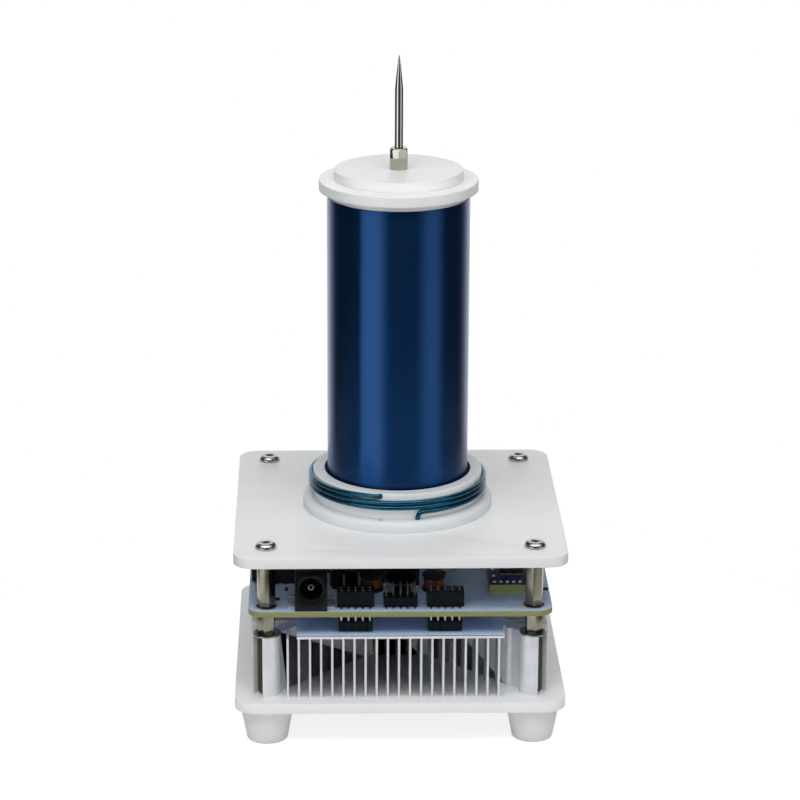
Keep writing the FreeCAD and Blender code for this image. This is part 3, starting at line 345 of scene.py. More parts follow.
@dataclass(frozen=True)
class Laminate(Finish):
    """A lacquered circuit board: coloured faces with faint tracks, and a bare cut edge."""

    face: Colour
    track: Colour
    edge: Colour
    edge_shade: Colour
    roughness: float = 0.5
    edge_roughness: float = 0.62
    gloss: float = 0.15
    track_size: float = mm(3.4)
    track_depth: float = mm(0.03)
    track_span: Point = (0.05, 0.09)
    flat_span: Point = (0.6, 0.8)
    fibre_size: float = mm(0.3)
    fibre_stretch: Colour = (1.0, 1.0, 8.0)

    def material(self) -> Material:
        """Build the finish: tracks under lacquer on the faces, glass fibre lines on the edge."""
        recipe = Recipe(self.name)
        inputs = {"Vector": recipe.place, "Scale": 1 / self.track_size}
        cells = recipe.add("ShaderNodeTexVoronoi", inputs, feature="DISTANCE_TO_EDGE", distance="EUCLIDEAN")
        tracks = recipe.reach(cells.outputs["Distance"], self.track_span, (1.0, 0.0))
        fibres = recipe.noise(self.fibre_size, stretch=self.fibre_stretch)
        upright = recipe.add("ShaderNodeMath", {"Value": recipe.facing("Z")}, operation="ABSOLUTE")
        flat = recipe.reach(upright.outputs[0], self.flat_span, WHOLE_SPAN)
        faces = recipe.blend(tracks, self.face, self.track)
        edges = recipe.two_tones(fibres, CLOUD_SPAN, self.edge, self.edge_shade)
        return recipe.close({
            "Base Color": recipe.blend(flat, edges, faces),
            "Roughness": recipe.reach(flat, WHOLE_SPAN, (self.edge_roughness, self.roughness)),
            "Specular IOR Level": self.gloss,
            "Normal": recipe.relief(tracks, self.track_depth),
        })


@dataclass(frozen=True)
class MetalCore(Finish):
    """A board with a metal core: pale lacquer, a thin dark layer and a bright cut edge."""

    face: Colour
    layer: Colour
    core: Colour
    level: float
    thickness: float
    layer_share: float = 0.2
    layer_edge_shares: Point = (1.3, 1.2)
    face_edge_shares: Point = (0.45, 0.35)
    stain_share: float = 0.12
    core_metal: float = 0.35
    core_roughness: float = 0.42
    face_roughness: float = 0.5
    gloss: float = 0.2
    line_size: float = mm(0.6)
    line_depth: float = mm(0.001)

    def above(self, recipe: Recipe, shares: Point) -> Socket:
        """A value that grows from 0 to 1 between two depths, in shares of the layer, below the top."""
        layer = self.thickness * self.layer_share
        start, end = (self.level + self.thickness - share * layer for share in shares)
        return recipe.reach(recipe.part_of_place("Z"), (start, end), WHOLE_SPAN)

    def material(self) -> Material:
        """Build the finish from the height in the board's thickness."""
        recipe = Recipe(self.name)
        in_layer = self.above(recipe, self.layer_edge_shares)
        in_face = self.above(recipe, self.face_edge_shares)
        lines = recipe.noise(self.line_size)
        core = recipe.blend(recipe.reach(lines, GRAIN_SPAN, (0.0, self.stain_share)), self.core, self.layer)
        return recipe.close({
            "Base Color": recipe.blend(in_face, recipe.blend(in_layer, core, self.layer), self.face),
            "Metallic": recipe.reach(in_layer, WHOLE_SPAN, (self.core_metal, 0.0)),
            "Roughness": recipe.reach(in_face, WHOLE_SPAN, (self.core_roughness, self.face_roughness)),
            "Specular IOR Level": self.gloss,
            "Normal": recipe.relief(lines, self.line_depth),
        })


@dataclass(frozen=True)
class Enamel(Finish):
    """Enamelled copper wire."""

    colour: Colour
    shade: Colour
    roughness: float = 0.26
    metal: float = 0.85
    coat: float = 0.2
    coat_roughness: float = 0.08
    cloud_size: float = mm(3)
    cloud_detail: float = 3.0
    cloud_depth: float = mm(0.02)

    def material(self) -> Material:
        """Build the finish: tinted metal under a clear coat, a little uneven along the wire."""
        recipe = Recipe(self.name)
        cloud = recipe.noise(self.cloud_size, self.cloud_detail)
        return recipe.close({
            "Base Color": recipe.two_tones(cloud, CLOUD_SPAN, self.colour, self.shade),
            "Metallic": self.metal,
            "Roughness": self.roughness,
            "Coat Weight": self.coat,
            "Coat Roughness": self.coat_roughness,
            "Normal": recipe.relief(cloud, self.cloud_depth),
        })


@dataclass(frozen=True)
class FineWinding(Finish):
    """A single layer of hair-fine enamelled turns, seen as one glossy skin."""

    colour: Colour
    shade: Colour
    turn_pitch: float = mm(0.16)
    turn_depth: float = mm(0.01)
    cloud_size: float = mm(7)
    cloud_stretch: Colour = (1.0, 1.0, 0.3)
    metal: float = 0.9
    roughness: float = 0.24
    stretch: float = 0.95
    stretch_turn: float = 0.25
    coat: float = 0.12
    coat_roughness: float = 0.05

    def material(self) -> Material:
        """Build the finish: dark blue metal whose gloss spreads along the tube, with fine turns."""
        recipe = Recipe(self.name)
        cloud = recipe.noise(self.cloud_size, stretch=self.cloud_stretch)
        inputs = {"Vector": recipe.place, "Scale": 1 / (self.turn_pitch * math.pi)}
        turns = recipe.add("ShaderNodeTexWave", inputs, bands_direction="Z", wave_profile="SIN")
        tangent = recipe.add("ShaderNodeTangent", direction_type="RADIAL", axis="Z").outputs["Tangent"]
        return recipe.close({
            "Base Color": recipe.blend(cloud, self.colour, self.shade),
            "Metallic": self.metal,
            "Roughness": self.roughness,
            "Anisotropic": self.stretch,
            "Anisotropic Rotation": self.stretch_turn,
            "Coat Weight": self.coat,
            "Coat Roughness": self.coat_roughness,
            "Tangent": tangent,
            "Normal": recipe.relief(turns.outputs["Fac"], self.turn_depth),
        })


WHITE_ACRYLIC = Moulding(
    "satin_white_acrylic", Slot.ACRYLIC, paint(243, 243, 243), paint(239, 240, 241), 0.42,
)
WHITE_MOULDED = Moulding(
    "white_moulded_plastic", Slot.WHITE_PLASTIC, paint(219, 224, 226), paint(214, 219, 221), 0.5, glow=0.15,
)
WHITE_TUBE = Moulding(
    "glossy_white_tube", Slot.WHITE_PLASTIC, paint(232, 233, 234), paint(227, 229, 231), 0.24,
)
WHITE_FOOT = Moulding(
    "soft_white_foot", Slot.FOOT, paint(240, 240, 239), paint(233, 234, 234), 0.62, glow=0.1,
)
BLACK_MOULDED = Moulding(
    "black_moulded_plastic", Slot.BLACK, paint(24, 28, 31), paint(29, 33, 36), 0.5, mm(4), gloss=0.1,
)
BLACK_GLOSSY = Moulding(
    "black_glossy_plastic", Slot.BLACK, paint(16, 19, 21), paint(20, 23, 26), 0.3, mm(4), gloss=0.15,
)
BLACK_SLEEVE = Moulding(
    "black_can_sleeve", Slot.BLACK, paint(16, 16, 18), paint(22, 22, 25), 0.36, mm(3), gloss=0.3,
)
GREY_CASE = Moulding("grey_capacitor_case", Slot.FILM, paint(128, 130, 134), paint(116, 118, 122), 0.5)
CHIP_CERAMIC = Moulding(
    "dark_ceramic", Slot.CERAMIC, paint(52, 45, 40), paint(38, 34, 32), 0.5, mm(1.5), gloss=0.3,
)
FERRITE = Moulding(
    "ferrite", Slot.FERRITE, paint(40, 40, 43), paint(31, 31, 34), 0.66, mm(2),
    grain_depth=mm(0.012), gloss=0.2,
)
LAMP_BODY = Moulding(
    "lamp_white", Slot.WHITE_PLASTIC, paint(240, 240, 236), paint(234, 233, 226), 0.5, mm(1), glow=0.2,
)
# A dark ring painted as the shadow round the foot of each upper standoff on the main board
PAINTED_SHADOW_RING = Moulding(
    "bare_board_ring", Slot.LAMINATE, paint(46, 50, 52), paint(36, 40, 42), 0.5, mm(2), gloss=0.2,
)

POLISHED_STEEL = Metal(
    "polished_steel", Slot.STAINLESS, (0.50, 0.50, 0.47), (0.44, 0.44, 0.42), 0.24, line_depth=mm(0.001),
)
GROUND_STEEL = Metal(
    "ground_steel", Slot.STAINLESS, (0.50, 0.50, 0.48), (0.46, 0.46, 0.44), 0.07, mm(2),
    line_depth=mm(0.0002),
)
NICKEL_PLATE = Metal(
    "nickel_plate", Slot.NICKEL, (0.24, 0.227, 0.178), (0.205, 0.19, 0.15), 0.22, line_depth=mm(0.0002),
)
WASHER_STEEL = Metal(
    "washer_steel", Slot.STAINLESS, (0.27, 0.27, 0.25), (0.22, 0.22, 0.20), 0.2, line_depth=mm(0.0003),
)
BRIGHT_NICKEL = Metal(
    "bright_nickel", Slot.NICKEL, (0.52, 0.50, 0.42), (0.46, 0.44, 0.37), 0.08, mm(1), line_depth=mm(0.0006),
)
SINK_METAL = Metal(
    "anodised_sink", Slot.SINK, (0.72, 0.74, 0.77), (0.66, 0.68, 0.71), 0.46, mm(0.5), metal=0.3,
)
TIN_PLATE = Metal(
    "tin_plate", Slot.TINNED, (0.80, 0.79, 0.76), (0.72, 0.71, 0.68), 0.34, cloud_size=mm(1), metal=0.6,
)
# The same tin as TIN_PLATE, darkened to paint the shade on the socket feet, the power pin and the spare pins
# under the top plate
SHADED_TIN = Metal("dull_tin", Slot.TINNED, (0.22, 0.22, 0.21), (0.17, 0.17, 0.16), 0.3, cloud_size=mm(1))
BRIGHT_SOLDER = Metal(
    "bright_solder", Slot.SOLDER, (0.76, 0.77, 0.78), (0.66, 0.67, 0.68), 0.3, mm(0.4), (1.0, 1.0, 1.0),
    line_depth=mm(0.008), cloud_size=mm(0.8), metal=0.75,
)

MAIN_LAMINATE = Laminate(
    "white_lacquered_board", Slot.LAMINATE,
    paint(182, 204, 234), paint(178, 200, 231), paint(149, 152, 106), paint(134, 138, 89)
)
MODULE_LAMINATE = Laminate(
    "navy_lacquered_board", Slot.MODULE,
    paint(40, 50, 80), paint(48, 60, 94), paint(126, 133, 87), paint(112, 119, 73),
    track_size=mm(1.6),
)

TEAL_ENAMEL = Enamel("teal_enamelled_wire", Slot.TEAL_WIRE, (0.005, 0.10, 0.17), (0.004, 0.08, 0.14), 0.22)
CLEAR_ENAMEL = Enamel("clear_enamelled_copper", Slot.COPPER, (0.40, 0.16, 0.07), (0.32, 0.12, 0.05))
BLUE_WINDING = FineWinding("blue_fine_winding", Slot.BLUE_WIRE, (0.008, 0.06, 0.195), (0.007, 0.054, 0.178))


# Mesh work

@dataclass(frozen=True)
class Extent:
    """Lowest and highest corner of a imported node."""

    low: Vector
    high: Vector

    @classmethod
    def of(cls, node: str) -> "Extent":
        """The extent of a node at rest."""
        return cls(*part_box(node))

    @property
    def centre(self) -> Vector:
        """Its middle."""
        return (self.low + self.high) / 2

    @property
    def size(self) -> Vector:
        """Its lengths along the axes."""
        return self.high - self.low


@dataclass(frozen=True)
class Corner:
    """A corner of a turned profile, with the radius that eases it."""

    radius: float
    height: float
    easing: float = 0.0

    def point(self) -> Vector:
        """The corner as a flat vector."""
        return Vector((self.radius, self.height))


def eased(corners: Sequence[Corner], closed: bool = False, steps: int = 5) -> list[Point]:
    """Turn each eased corner of a profile into an arc.

    Args:
        corners: the profile's corners in order.
        closed: whether the last corner joins the first.
        steps: how many steps each arc has.

    Returns:
        The profile's points, each a radius and a height.
    """
    points = []
    for index, corner in enumerate(corners):
        here = corner.point()
        at_end = not closed and index in (0, len(corners) - 1)
        if corner.easing == 0 or at_end:
            points.append(tuple(here))
            continue
        back = (corners[index - 1].point() - here).normalized()
        ahead = (corners[(index + 1) % len(corners)].point() - here).normalized()
        half = back.angle(ahead) / 2
        centre = here + (back + ahead).normalized() * (corner.easing / math.sin(half))
        reach = corner.easing / math.tan(half)
        start = (here + back * reach - centre).normalized()
        end = (here + ahead * reach - centre).normalized()
        sweep = start.angle(end)
        side = (end - start * math.cos(sweep)).normalized()
        for angle in (sweep * step / steps for step in range(steps + 1)):
            points.append(tuple(centre + (start * math.cos(angle) + side * math.sin(angle)) * corner.easing))
    return points


def ring(shape: Shape, radii: Sequence[float], height: float) -> list[bmesh.types.BMVert]:
    """Add a ring of vertices, or one vertex where it has no radius.

    Args:
        shape: the mesh to add to.
        radii: the radius at each step round the axis.
        height: the ring's height.

    Returns:
        The new vertices.
    """
    if max(radii) < POLE_RADIUS:
        return [shape.verts.new((0, 0, height))]
    count = len(radii)
    angles = [2 * math.pi * index / count for index in range(count)]
    return [
        shape.verts.new((radius * math.cos(angle), radius * math.sin(angle), height))
        for radius, angle in zip(radii, angles)
    ]


def skin(shape: Shape, rings: Sequence[list], closed: bool) -> None:
    """Join neighbouring rings with faces.

    Args:
        shape: the mesh that holds the rings.
        rings: the rings in order.
        closed: whether the last joins the first.
    """
    pairs = list(zip(rings, rings[1:]))
    if closed:
        pairs.append((rings[-1], rings[0]))
    for lower, upper in pairs:
        count = max(len(lower), len(upper))
        for index in range(count):
            following = (index + 1) % count
            if len(lower) == 1:
                shape.faces.new((lower[0], upper[following], upper[index]))
            elif len(upper) == 1:
                shape.faces.new((lower[index], lower[following], upper[0]))
            else:
                shape.faces.new((lower[index], lower[following], upper[following], upper[index]))
    bmesh.ops.recalc_face_normals(shape, faces=shape.faces)


def turned(profile: Sequence[Point], steps: int = ROUND_STEPS, closed: bool = False) -> Shape:
    """Turn a profile round the upright axis.

    Args:
        profile: points of radius and height.
        steps: steps in the full turn.
        closed: whether the profile is a loop, as on a pipe.

    Returns:
        The turned mesh.
    """
    shape = bmesh.new()
    rings = [ring(shape, [radius] * steps, height) for radius, height in profile]
    skin(shape, rings, closed)
    return shape


def smooth(mesh: bpy.types.Mesh, crease: float = CREASE_ANGLE) -> None:
    """Shade a mesh smooth, with sharp edges where it bends further than an angle."""
    mesh.polygons.foreach_set("use_smooth", [True] * len(mesh.polygons))
    mesh.set_sharp_from_angle(angle=crease)


def as_object(name: str, shape: Shape) -> Piece:
    """Put a mesh in the scene.

    Args:
        name: the piece's name.
        shape: its mesh, which is used up.

    Returns:
        The new object.
    """
    mesh = bpy.data.meshes.new(name)
    shape.to_mesh(mesh)
    shape.free()
    smooth(mesh)
    piece = bpy.data.objects.new(name, mesh)
    bpy.context.scene.collection.objects.link(piece)
    return piece


def settle(piece: Piece) -> Piece:
    """Turn a piece with its modifiers into a plain mesh."""
    evaluated = piece.evaluated_get(bpy.context.evaluated_depsgraph_get())
    mesh = bpy.data.meshes.new_from_object(evaluated)
    piece.modifiers.clear()
    piece.data = mesh
    smooth(mesh)
    return piece


def merged_copy(node: str) -> Shape:
    """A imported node's mesh with its loose triangles joined and its flat faces made whole."""
    shape = bmesh.new()
    shape.from_mesh(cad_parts[node].data)
    bmesh.ops.remove_doubles(shape, verts=shape.verts, dist=MERGE_DISTANCE)
    bmesh.ops.dissolve_limit(shape, angle_limit=FLAT_ANGLE, verts=shape.verts, edges=shape.edges)
    return shape


def ease(piece: Piece, width: float, segments: int, miter: str = "MITER_SHARP") -> None:
    """Ease a piece's sharp edges and leave a plain mesh.

    Args:
        piece: the piece.
        width: how wide the eased edge is.
        segments: how many steps it takes.
        miter: how the eased edges meet at outer corners.
    """
    bevel = piece.modifiers.new("easing", "BEVEL")
    bevel.width = width
    bevel.segments = segments
    bevel.limit_method = "ANGLE"
    bevel.angle_limit = CREASE_ANGLE
    bevel.miter_outer = miter
    settle(piece)


@cache
def material_of(finish: Finish) -> Material:
    """The material of a finish, made at its first use."""
    return finish.material()


def show(piece: Piece, finish: Finish, *nodes: str, body: Body = Body.APPARATUS) -> Piece:
    """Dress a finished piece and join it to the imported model.

    Args:
        piece: the piece, in its place.
        finish: its finish.
        nodes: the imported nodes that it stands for.
        body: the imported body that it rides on.

    Returns:
        The piece.
    """
    piece.data.materials.clear()
    piece.data.materials.append(material_of(finish))
    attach(piece, body.value)
    if nodes:
        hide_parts(*nodes)
    log.info("%s: %d faces", piece.name, len(piece.data.polygons))
    return piece


def refined(node: str, ending: str, finish: Finish, easing: float = 0.0, segments: int = 2) -> Piece:
    """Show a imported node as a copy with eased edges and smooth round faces.

    Args:
        node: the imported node.
        ending: what the piece's name adds to the node's.
        finish: its finish.
        easing: the width that its sharp edges are eased by.
        segments: how many steps that takes.

    Returns:
        The new piece.
    """
    piece = as_object(f"{node}_{ending}", merged_copy(node))
    custom = piece.data.attributes.get("custom_normal")
    if custom:
        piece.data.attributes.remove(custom)
    if easing:
        ease(piece, easing, segments, "MITER_ARC")
    return show(piece, finish, node)


def dress(node: str, finish: Finish) -> None:
    """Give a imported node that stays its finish."""
    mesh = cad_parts[node].data
    mesh.materials.clear()
    mesh.materials.append(material_of(finish))
    log.info("%s: packed node, %s", node, finish.name)


# Geometry trees

class Tree(Graph):
    """A geometry tree with named inputs, which ends in real faces with a material."""

    def __init__(self, name: str) -> None:
        """Start a tree.

        Args:
            name: the tree's name.
        """
        self.group = bpy.data.node_groups.new(name, "GeometryNodeTree")
        super().__init__(self.group)
        self.identifiers: dict[str, str] = {}
        self.entry = self.nodes.new("NodeGroupInput")
        self.exit = self.nodes.new("NodeGroupOutput")
        self.item = self.input("Geometry", "NodeSocketGeometry")
        self.group.interface.new_socket("Geometry", in_out="OUTPUT", socket_type="NodeSocketGeometry")

    def input(self, name: str, kind: str = "NodeSocketFloat") -> Socket:
        """Add a named input and return its socket."""
        made = self.group.interface.new_socket(name, in_out="INPUT", socket_type=kind)
        self.identifiers[name] = made.identifier
        return next(entry for entry in self.entry.outputs if entry.identifier == made.identifier)

    def sum(self, operation: str, first: object, second: object = 0.0) -> Socket:
        """One step of arithmetic."""
        return self.add("ShaderNodeMath", {0: first, 1: second}, operation=operation).outputs[0]

    def vector(self, x: object = 0.0, y: object = 0.0, z: object = 0.0) -> Socket:
        """A vector from its parts."""
        return self.add("ShaderNodeCombineXYZ", {"X": x, "Y": y, "Z": z}).outputs[0]

    def repeat(self, points: Socket, item: Socket, **fields: object) -> Socket:
        """Set an item on each point.

        Args:
            points: where the items go.
            item: the item's geometry.
            fields: rotation and scale of each item.

        Returns:
            The placed items.
        """
        inputs = {"Points": points, "Instance": item}
        inputs.update({key.capitalize(): value for key, value in fields.items()})
        return self.add("GeometryNodeInstanceOnPoints", inputs).outputs["Instances"]

    def end(self, geometry: Socket) -> None:
        """Make the result real and give it the Material input."""
        real = self.add("GeometryNodeRealizeInstances", {"Geometry": geometry}).outputs[0]
        finish = self.input("Material", "NodeSocketMaterial")
        painted = self.add("GeometryNodeSetMaterial", {"Geometry": real, "Material": finish})
        self.links.new(painted.outputs[0], self.exit.inputs[0])

    def run(self, piece: Piece, finish: Material, **values: object) -> Piece:
        """Run the tree on a piece and leave a plain mesh.

        Args:
            piece: the piece that the tree reads.
            finish: the result's material.
            values: the named inputs, with underscores for spaces.

        Returns:
            The piece.
        """
        modifier = piece.modifiers.new(self.group.name, "NODES")
        modifier.node_group = self.group
        modifier[self.identifiers["Material"]] = finish
        for name, value in values.items():
            modifier[self.identifiers[name.replace("_", " ")]] = value
        return settle(piece)


class CornerTree(Tree):
    """Sets an item at the four corners of a square."""

    def __init__(self) -> None:
        """Build the tree, with the input Spacing."""
        super().__init__("four_corners")
        spacing = self.input("Spacing")
        inputs = {"Size X": spacing, "Size Y": spacing, "Vertices X": 2, "Vertices Y": 2}
        grid = self.add("GeometryNodeMeshGrid", inputs)
        self.end(self.repeat(grid.outputs["Mesh"], self.item))


class PinTree(Tree):
    """Sets a pin at each place of a two-row header; the front row is turned about."""

    def __init__(self) -> None:
        """Build the tree, with the inputs Columns, Pitch and Centre."""
        super().__init__("header_pins")
        columns = self.input("Columns", "NodeSocketInt")
        pitch = self.input("Pitch")
        centre = self.input("Centre", "NodeSocketVector")
        length = self.sum("MULTIPLY", self.sum("SUBTRACT", columns, 1.0), pitch)
        inputs = {"Size X": length, "Size Y": pitch, "Vertices X": columns, "Vertices Y": 2}
        grid = self.add("GeometryNodeMeshGrid", inputs)
        place = self.add("ShaderNodeSeparateXYZ", {0: self.add("GeometryNodeInputPosition").outputs[0]})
        in_front = self.sum("LESS_THAN", place.outputs["Y"], 0.0)
        turn = self.vector(z=self.sum("MULTIPLY", in_front, math.pi))
        pins = self.repeat(grid.outputs["Mesh"], self.item, rotation=turn)
        moved = self.add("GeometryNodeTransform", {"Geometry": pins, "Translation": centre})
        self.end(moved.outputs[0])


class FinTree(Tree):
    """Adds four quarters of parallel fins to the body of a heat sink and joins all in one skin."""

    def __init__(self) -> None:
        """Build the tree, with inputs for the fins' count, places and sizes."""
        super().__init__("sink_fins")
        count = self.input("Count", "NodeSocketInt")
        first, pitch = self.input("First"), self.input("Pitch")
        thickness, half_side = self.input("Thickness"), self.input("Half Side")
        inner, low, height = self.input("Inner"), self.input("Low"), self.input("Height")
        inputs = {"Count": count, "Start Location": self.vector(x=first), "Offset": self.vector(x=pitch)}
        line = self.add("GeometryNodeMeshLine", inputs)
        place = self.add("ShaderNodeSeparateXYZ", {0: self.add("GeometryNodeInputPosition").outputs[0]})
        back = self.sum("MAXIMUM", self.sum("ABSOLUTE", place.outputs["X"]), inner)
        length = self.sum("SUBTRACT", half_side, back)
        middle = self.sum("MULTIPLY", self.sum("ADD", half_side, back), -0.5)
        raised = self.sum("ADD", low, self.sum("MULTIPLY", height, 0.5))
        inputs = {"Geometry": line.outputs[0], "Offset": self.vector(y=middle, z=raised)}
        moved = self.add("GeometryNodeSetPosition", inputs)
        block = self.add("GeometryNodeMeshCube", {"Size": self.vector(thickness, 1.0, height)})
        inputs = {"Geometry": line.outputs[0], "Name": "reach", "Value": length}
        captured = self.add("GeometryNodeStoreNamedAttribute", inputs)
        self.links.new(captured.outputs[0], moved.inputs["Geometry"])
        reach = self.add("GeometryNodeInputNamedAttribute", {"Name": "reach"}).outputs["Attribute"]
        fins = self.repeat(moved.outputs[0], block.outputs["Mesh"], scale=self.vector(1.0, reach, 1.0))
        quarter = self.add("GeometryNodeMeshLine", {"Count": 4, "Offset": self.vector()})
        turns = self.sum("MULTIPLY", self.add("GeometryNodeInputIndex").outputs[0], math.pi / 2)
        turned_fins = self.repeat(quarter.outputs[0], fins, rotation=self.vector(z=turns))
        real = self.add("GeometryNodeRealizeInstances", {"Geometry": turned_fins})
        inputs = {"Self Intersection": True}
        joined = self.add("GeometryNodeMeshBoolean", inputs, operation="UNION", solver="EXACT")
        for part in (self.item, real.outputs[0]):
            self.links.new(part, joined.inputs["Mesh 2"])
        self.end(joined.outputs["Mesh"])


class WireTree(Tree):
    """Runs a round wire along a line."""

    def __init__(self) -> None:
        """Build the tree, with the inputs Radius and Sides."""
        super().__init__("round_wire")
        radius, sides = self.input("Radius"), self.input("Sides", "NodeSocketInt")
        line = self.add("GeometryNodeMeshToCurve", {"Mesh": self.item}).outputs[0]
        circle = self.add("GeometryNodeCurvePrimitiveCircle", {"Resolution": sides, "Radius": radius})
        inputs = {"Curve": line, "Profile Curve": circle.outputs[0], "Fill Caps": True}
        self.end(self.add("GeometryNodeCurveToMesh", inputs).outputs[0])


corner_tree = CornerTree()
pin_tree = PinTree()
wire_tree = WireTree()

def at_corners(name: str, shape: Shape, finish: Finish, *nodes: str) -> Piece:
    """Show a mesh at each of the four corner holes.

    Args:
        name: the piece's name.
        shape: the mesh, on the axis, which is used up.
        finish: its finish.
        nodes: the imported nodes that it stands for.

    Returns:
        The new piece.
    """
    piece = corner_tree.run(as_object(name, shape), material_of(finish), Spacing=HOLE_SPACING)
    return show(piece, finish, *nodes)


def line_object(name: str, points: Sequence[Vector]) -> Piece:
    """A piece that is one line through points, for a wire to follow."""
    mesh = bpy.data.meshes.new(name)
    mesh.from_pydata(points, [(index, index + 1) for index in range(len(points) - 1)], [])
    piece = bpy.data.objects.new(name, mesh)
    bpy.context.scene.collection.objects.link(piece)
    return piece


# Screws

@dataclass(frozen=True)
class ButtonScrew:
    """A round-headed screw with a hexagonal socket."""

    head_radius: float = mm(3.0)
    head_height: float = mm(1.7)
    edge_height: float = mm(0.3)
    rim_radius: float = mm(1.57)
    socket_flats: float = mm(2.1)
    socket_depth: float = mm(1.15)
    socket_easing: float = mm(0.16)
    shank_radius: float = mm(1.48)
    dome_steps: int = 9
    steps: int = 72

    def hexagon(self, flats: float) -> list[float]:
        """Radii of a hexagon at each step round."""
        sector = math.pi / 3
        angles = [2 * math.pi * index / self.steps for index in range(self.steps)]
        return [flats / 2 / math.cos((angle + sector / 2) % sector - sector / 2) for angle in angles]

    def mesh(self, seat: float, tip: float) -> Shape:
        """Build the screw with its head up.

        Args:
            seat: the height of the face under the head.
            tip: the height of the shank's end.

        Returns:
            Its mesh, on the axis.
        """
        shape = bmesh.new()
        profile = [(0.0, tip), (self.shank_radius, tip), (self.shank_radius, seat), (self.head_radius, seat)]
        for step in range(self.dome_steps + 1):
            angle = math.pi / 2 * step / self.dome_steps
            radius = self.rim_radius + (self.head_radius - self.rim_radius) * math.cos(angle)
            rise = self.edge_height + (self.head_height - self.edge_height) * math.sin(angle)
            profile.append((radius, seat + rise))
        rings = [ring(shape, [radius] * self.steps, height) for radius, height in profile]
        top = seat + self.head_height
        mouth = self.hexagon(self.socket_flats)
        rings.append(ring(shape, [radius + self.socket_easing for radius in mouth], top))
        rings.append(ring(shape, mouth, top - self.socket_easing))
        rings.append(ring(shape, mouth, top - self.socket_depth))
        rings.append(ring(shape, [0.0], top - self.socket_depth - self.socket_easing))
        skin(shape, rings, False)
        return shape


# Plates and feet

@dataclass
class Plates:
    """The two square plates and the feet."""

    plate_easing: float = mm(0.58)
    plate_easing_steps: int = 4
    foot_recess_radius: float = mm(3.45)
    foot_recess_depth: float = mm(3.4)
    foot_bottom_radius: float = mm(5.7)
    foot_top_radius: float = mm(7.7)
    foot_bottom_easing: float = mm(0.7)
    foot_top_easing: float = mm(0.3)
    bore_radius: float = mm(1.7)

    def build(self) -> None:
        """Make the plates, the feet and their screws."""
        for node in ("base_plate", "top_plate"):
            refined(node, "shaped", WHITE_ACRYLIC, self.plate_easing, self.plate_easing_steps)
        self.build_feet()
        self.build_screws()

    def build_feet(self) -> None:
        """Make the four tapered feet."""
        height = Extent.of("feet").size.z
        corners = [
            Corner(self.foot_recess_radius, 0.0, self.foot_top_easing),
            Corner(self.foot_bottom_radius, 0.0, self.foot_bottom_easing),
            Corner(self.foot_top_radius, height, self.foot_top_easing),
            Corner(self.bore_radius, height),
            Corner(self.bore_radius, self.foot_recess_depth),
            Corner(self.foot_recess_radius, self.foot_recess_depth),
        ]
        at_corners("feet_turned", turned(eased(corners, closed=True), closed=True), WHITE_FOOT, "feet")

    def build_screws(self) -> None:
        """Make the screws of the top plate and of the feet."""
        screw = ButtonScrew()
        extent = Extent.of("top_screws")
        shape = screw.mesh(extent.high.z - screw.head_height, extent.low.z)
        at_corners("top_screws_turned", shape, POLISHED_STEEL, "top_screws")
        extent = Extent.of("foot_screws")
        shape = screw.mesh(-extent.low.z - screw.head_height, -extent.high.z)
        bmesh.ops.rotate(shape, verts=shape.verts, matrix=Matrix.Rotation(math.pi, 3, "X"))
        at_corners("foot_screws_turned", shape, POLISHED_STEEL, "foot_screws")


# Heat sink

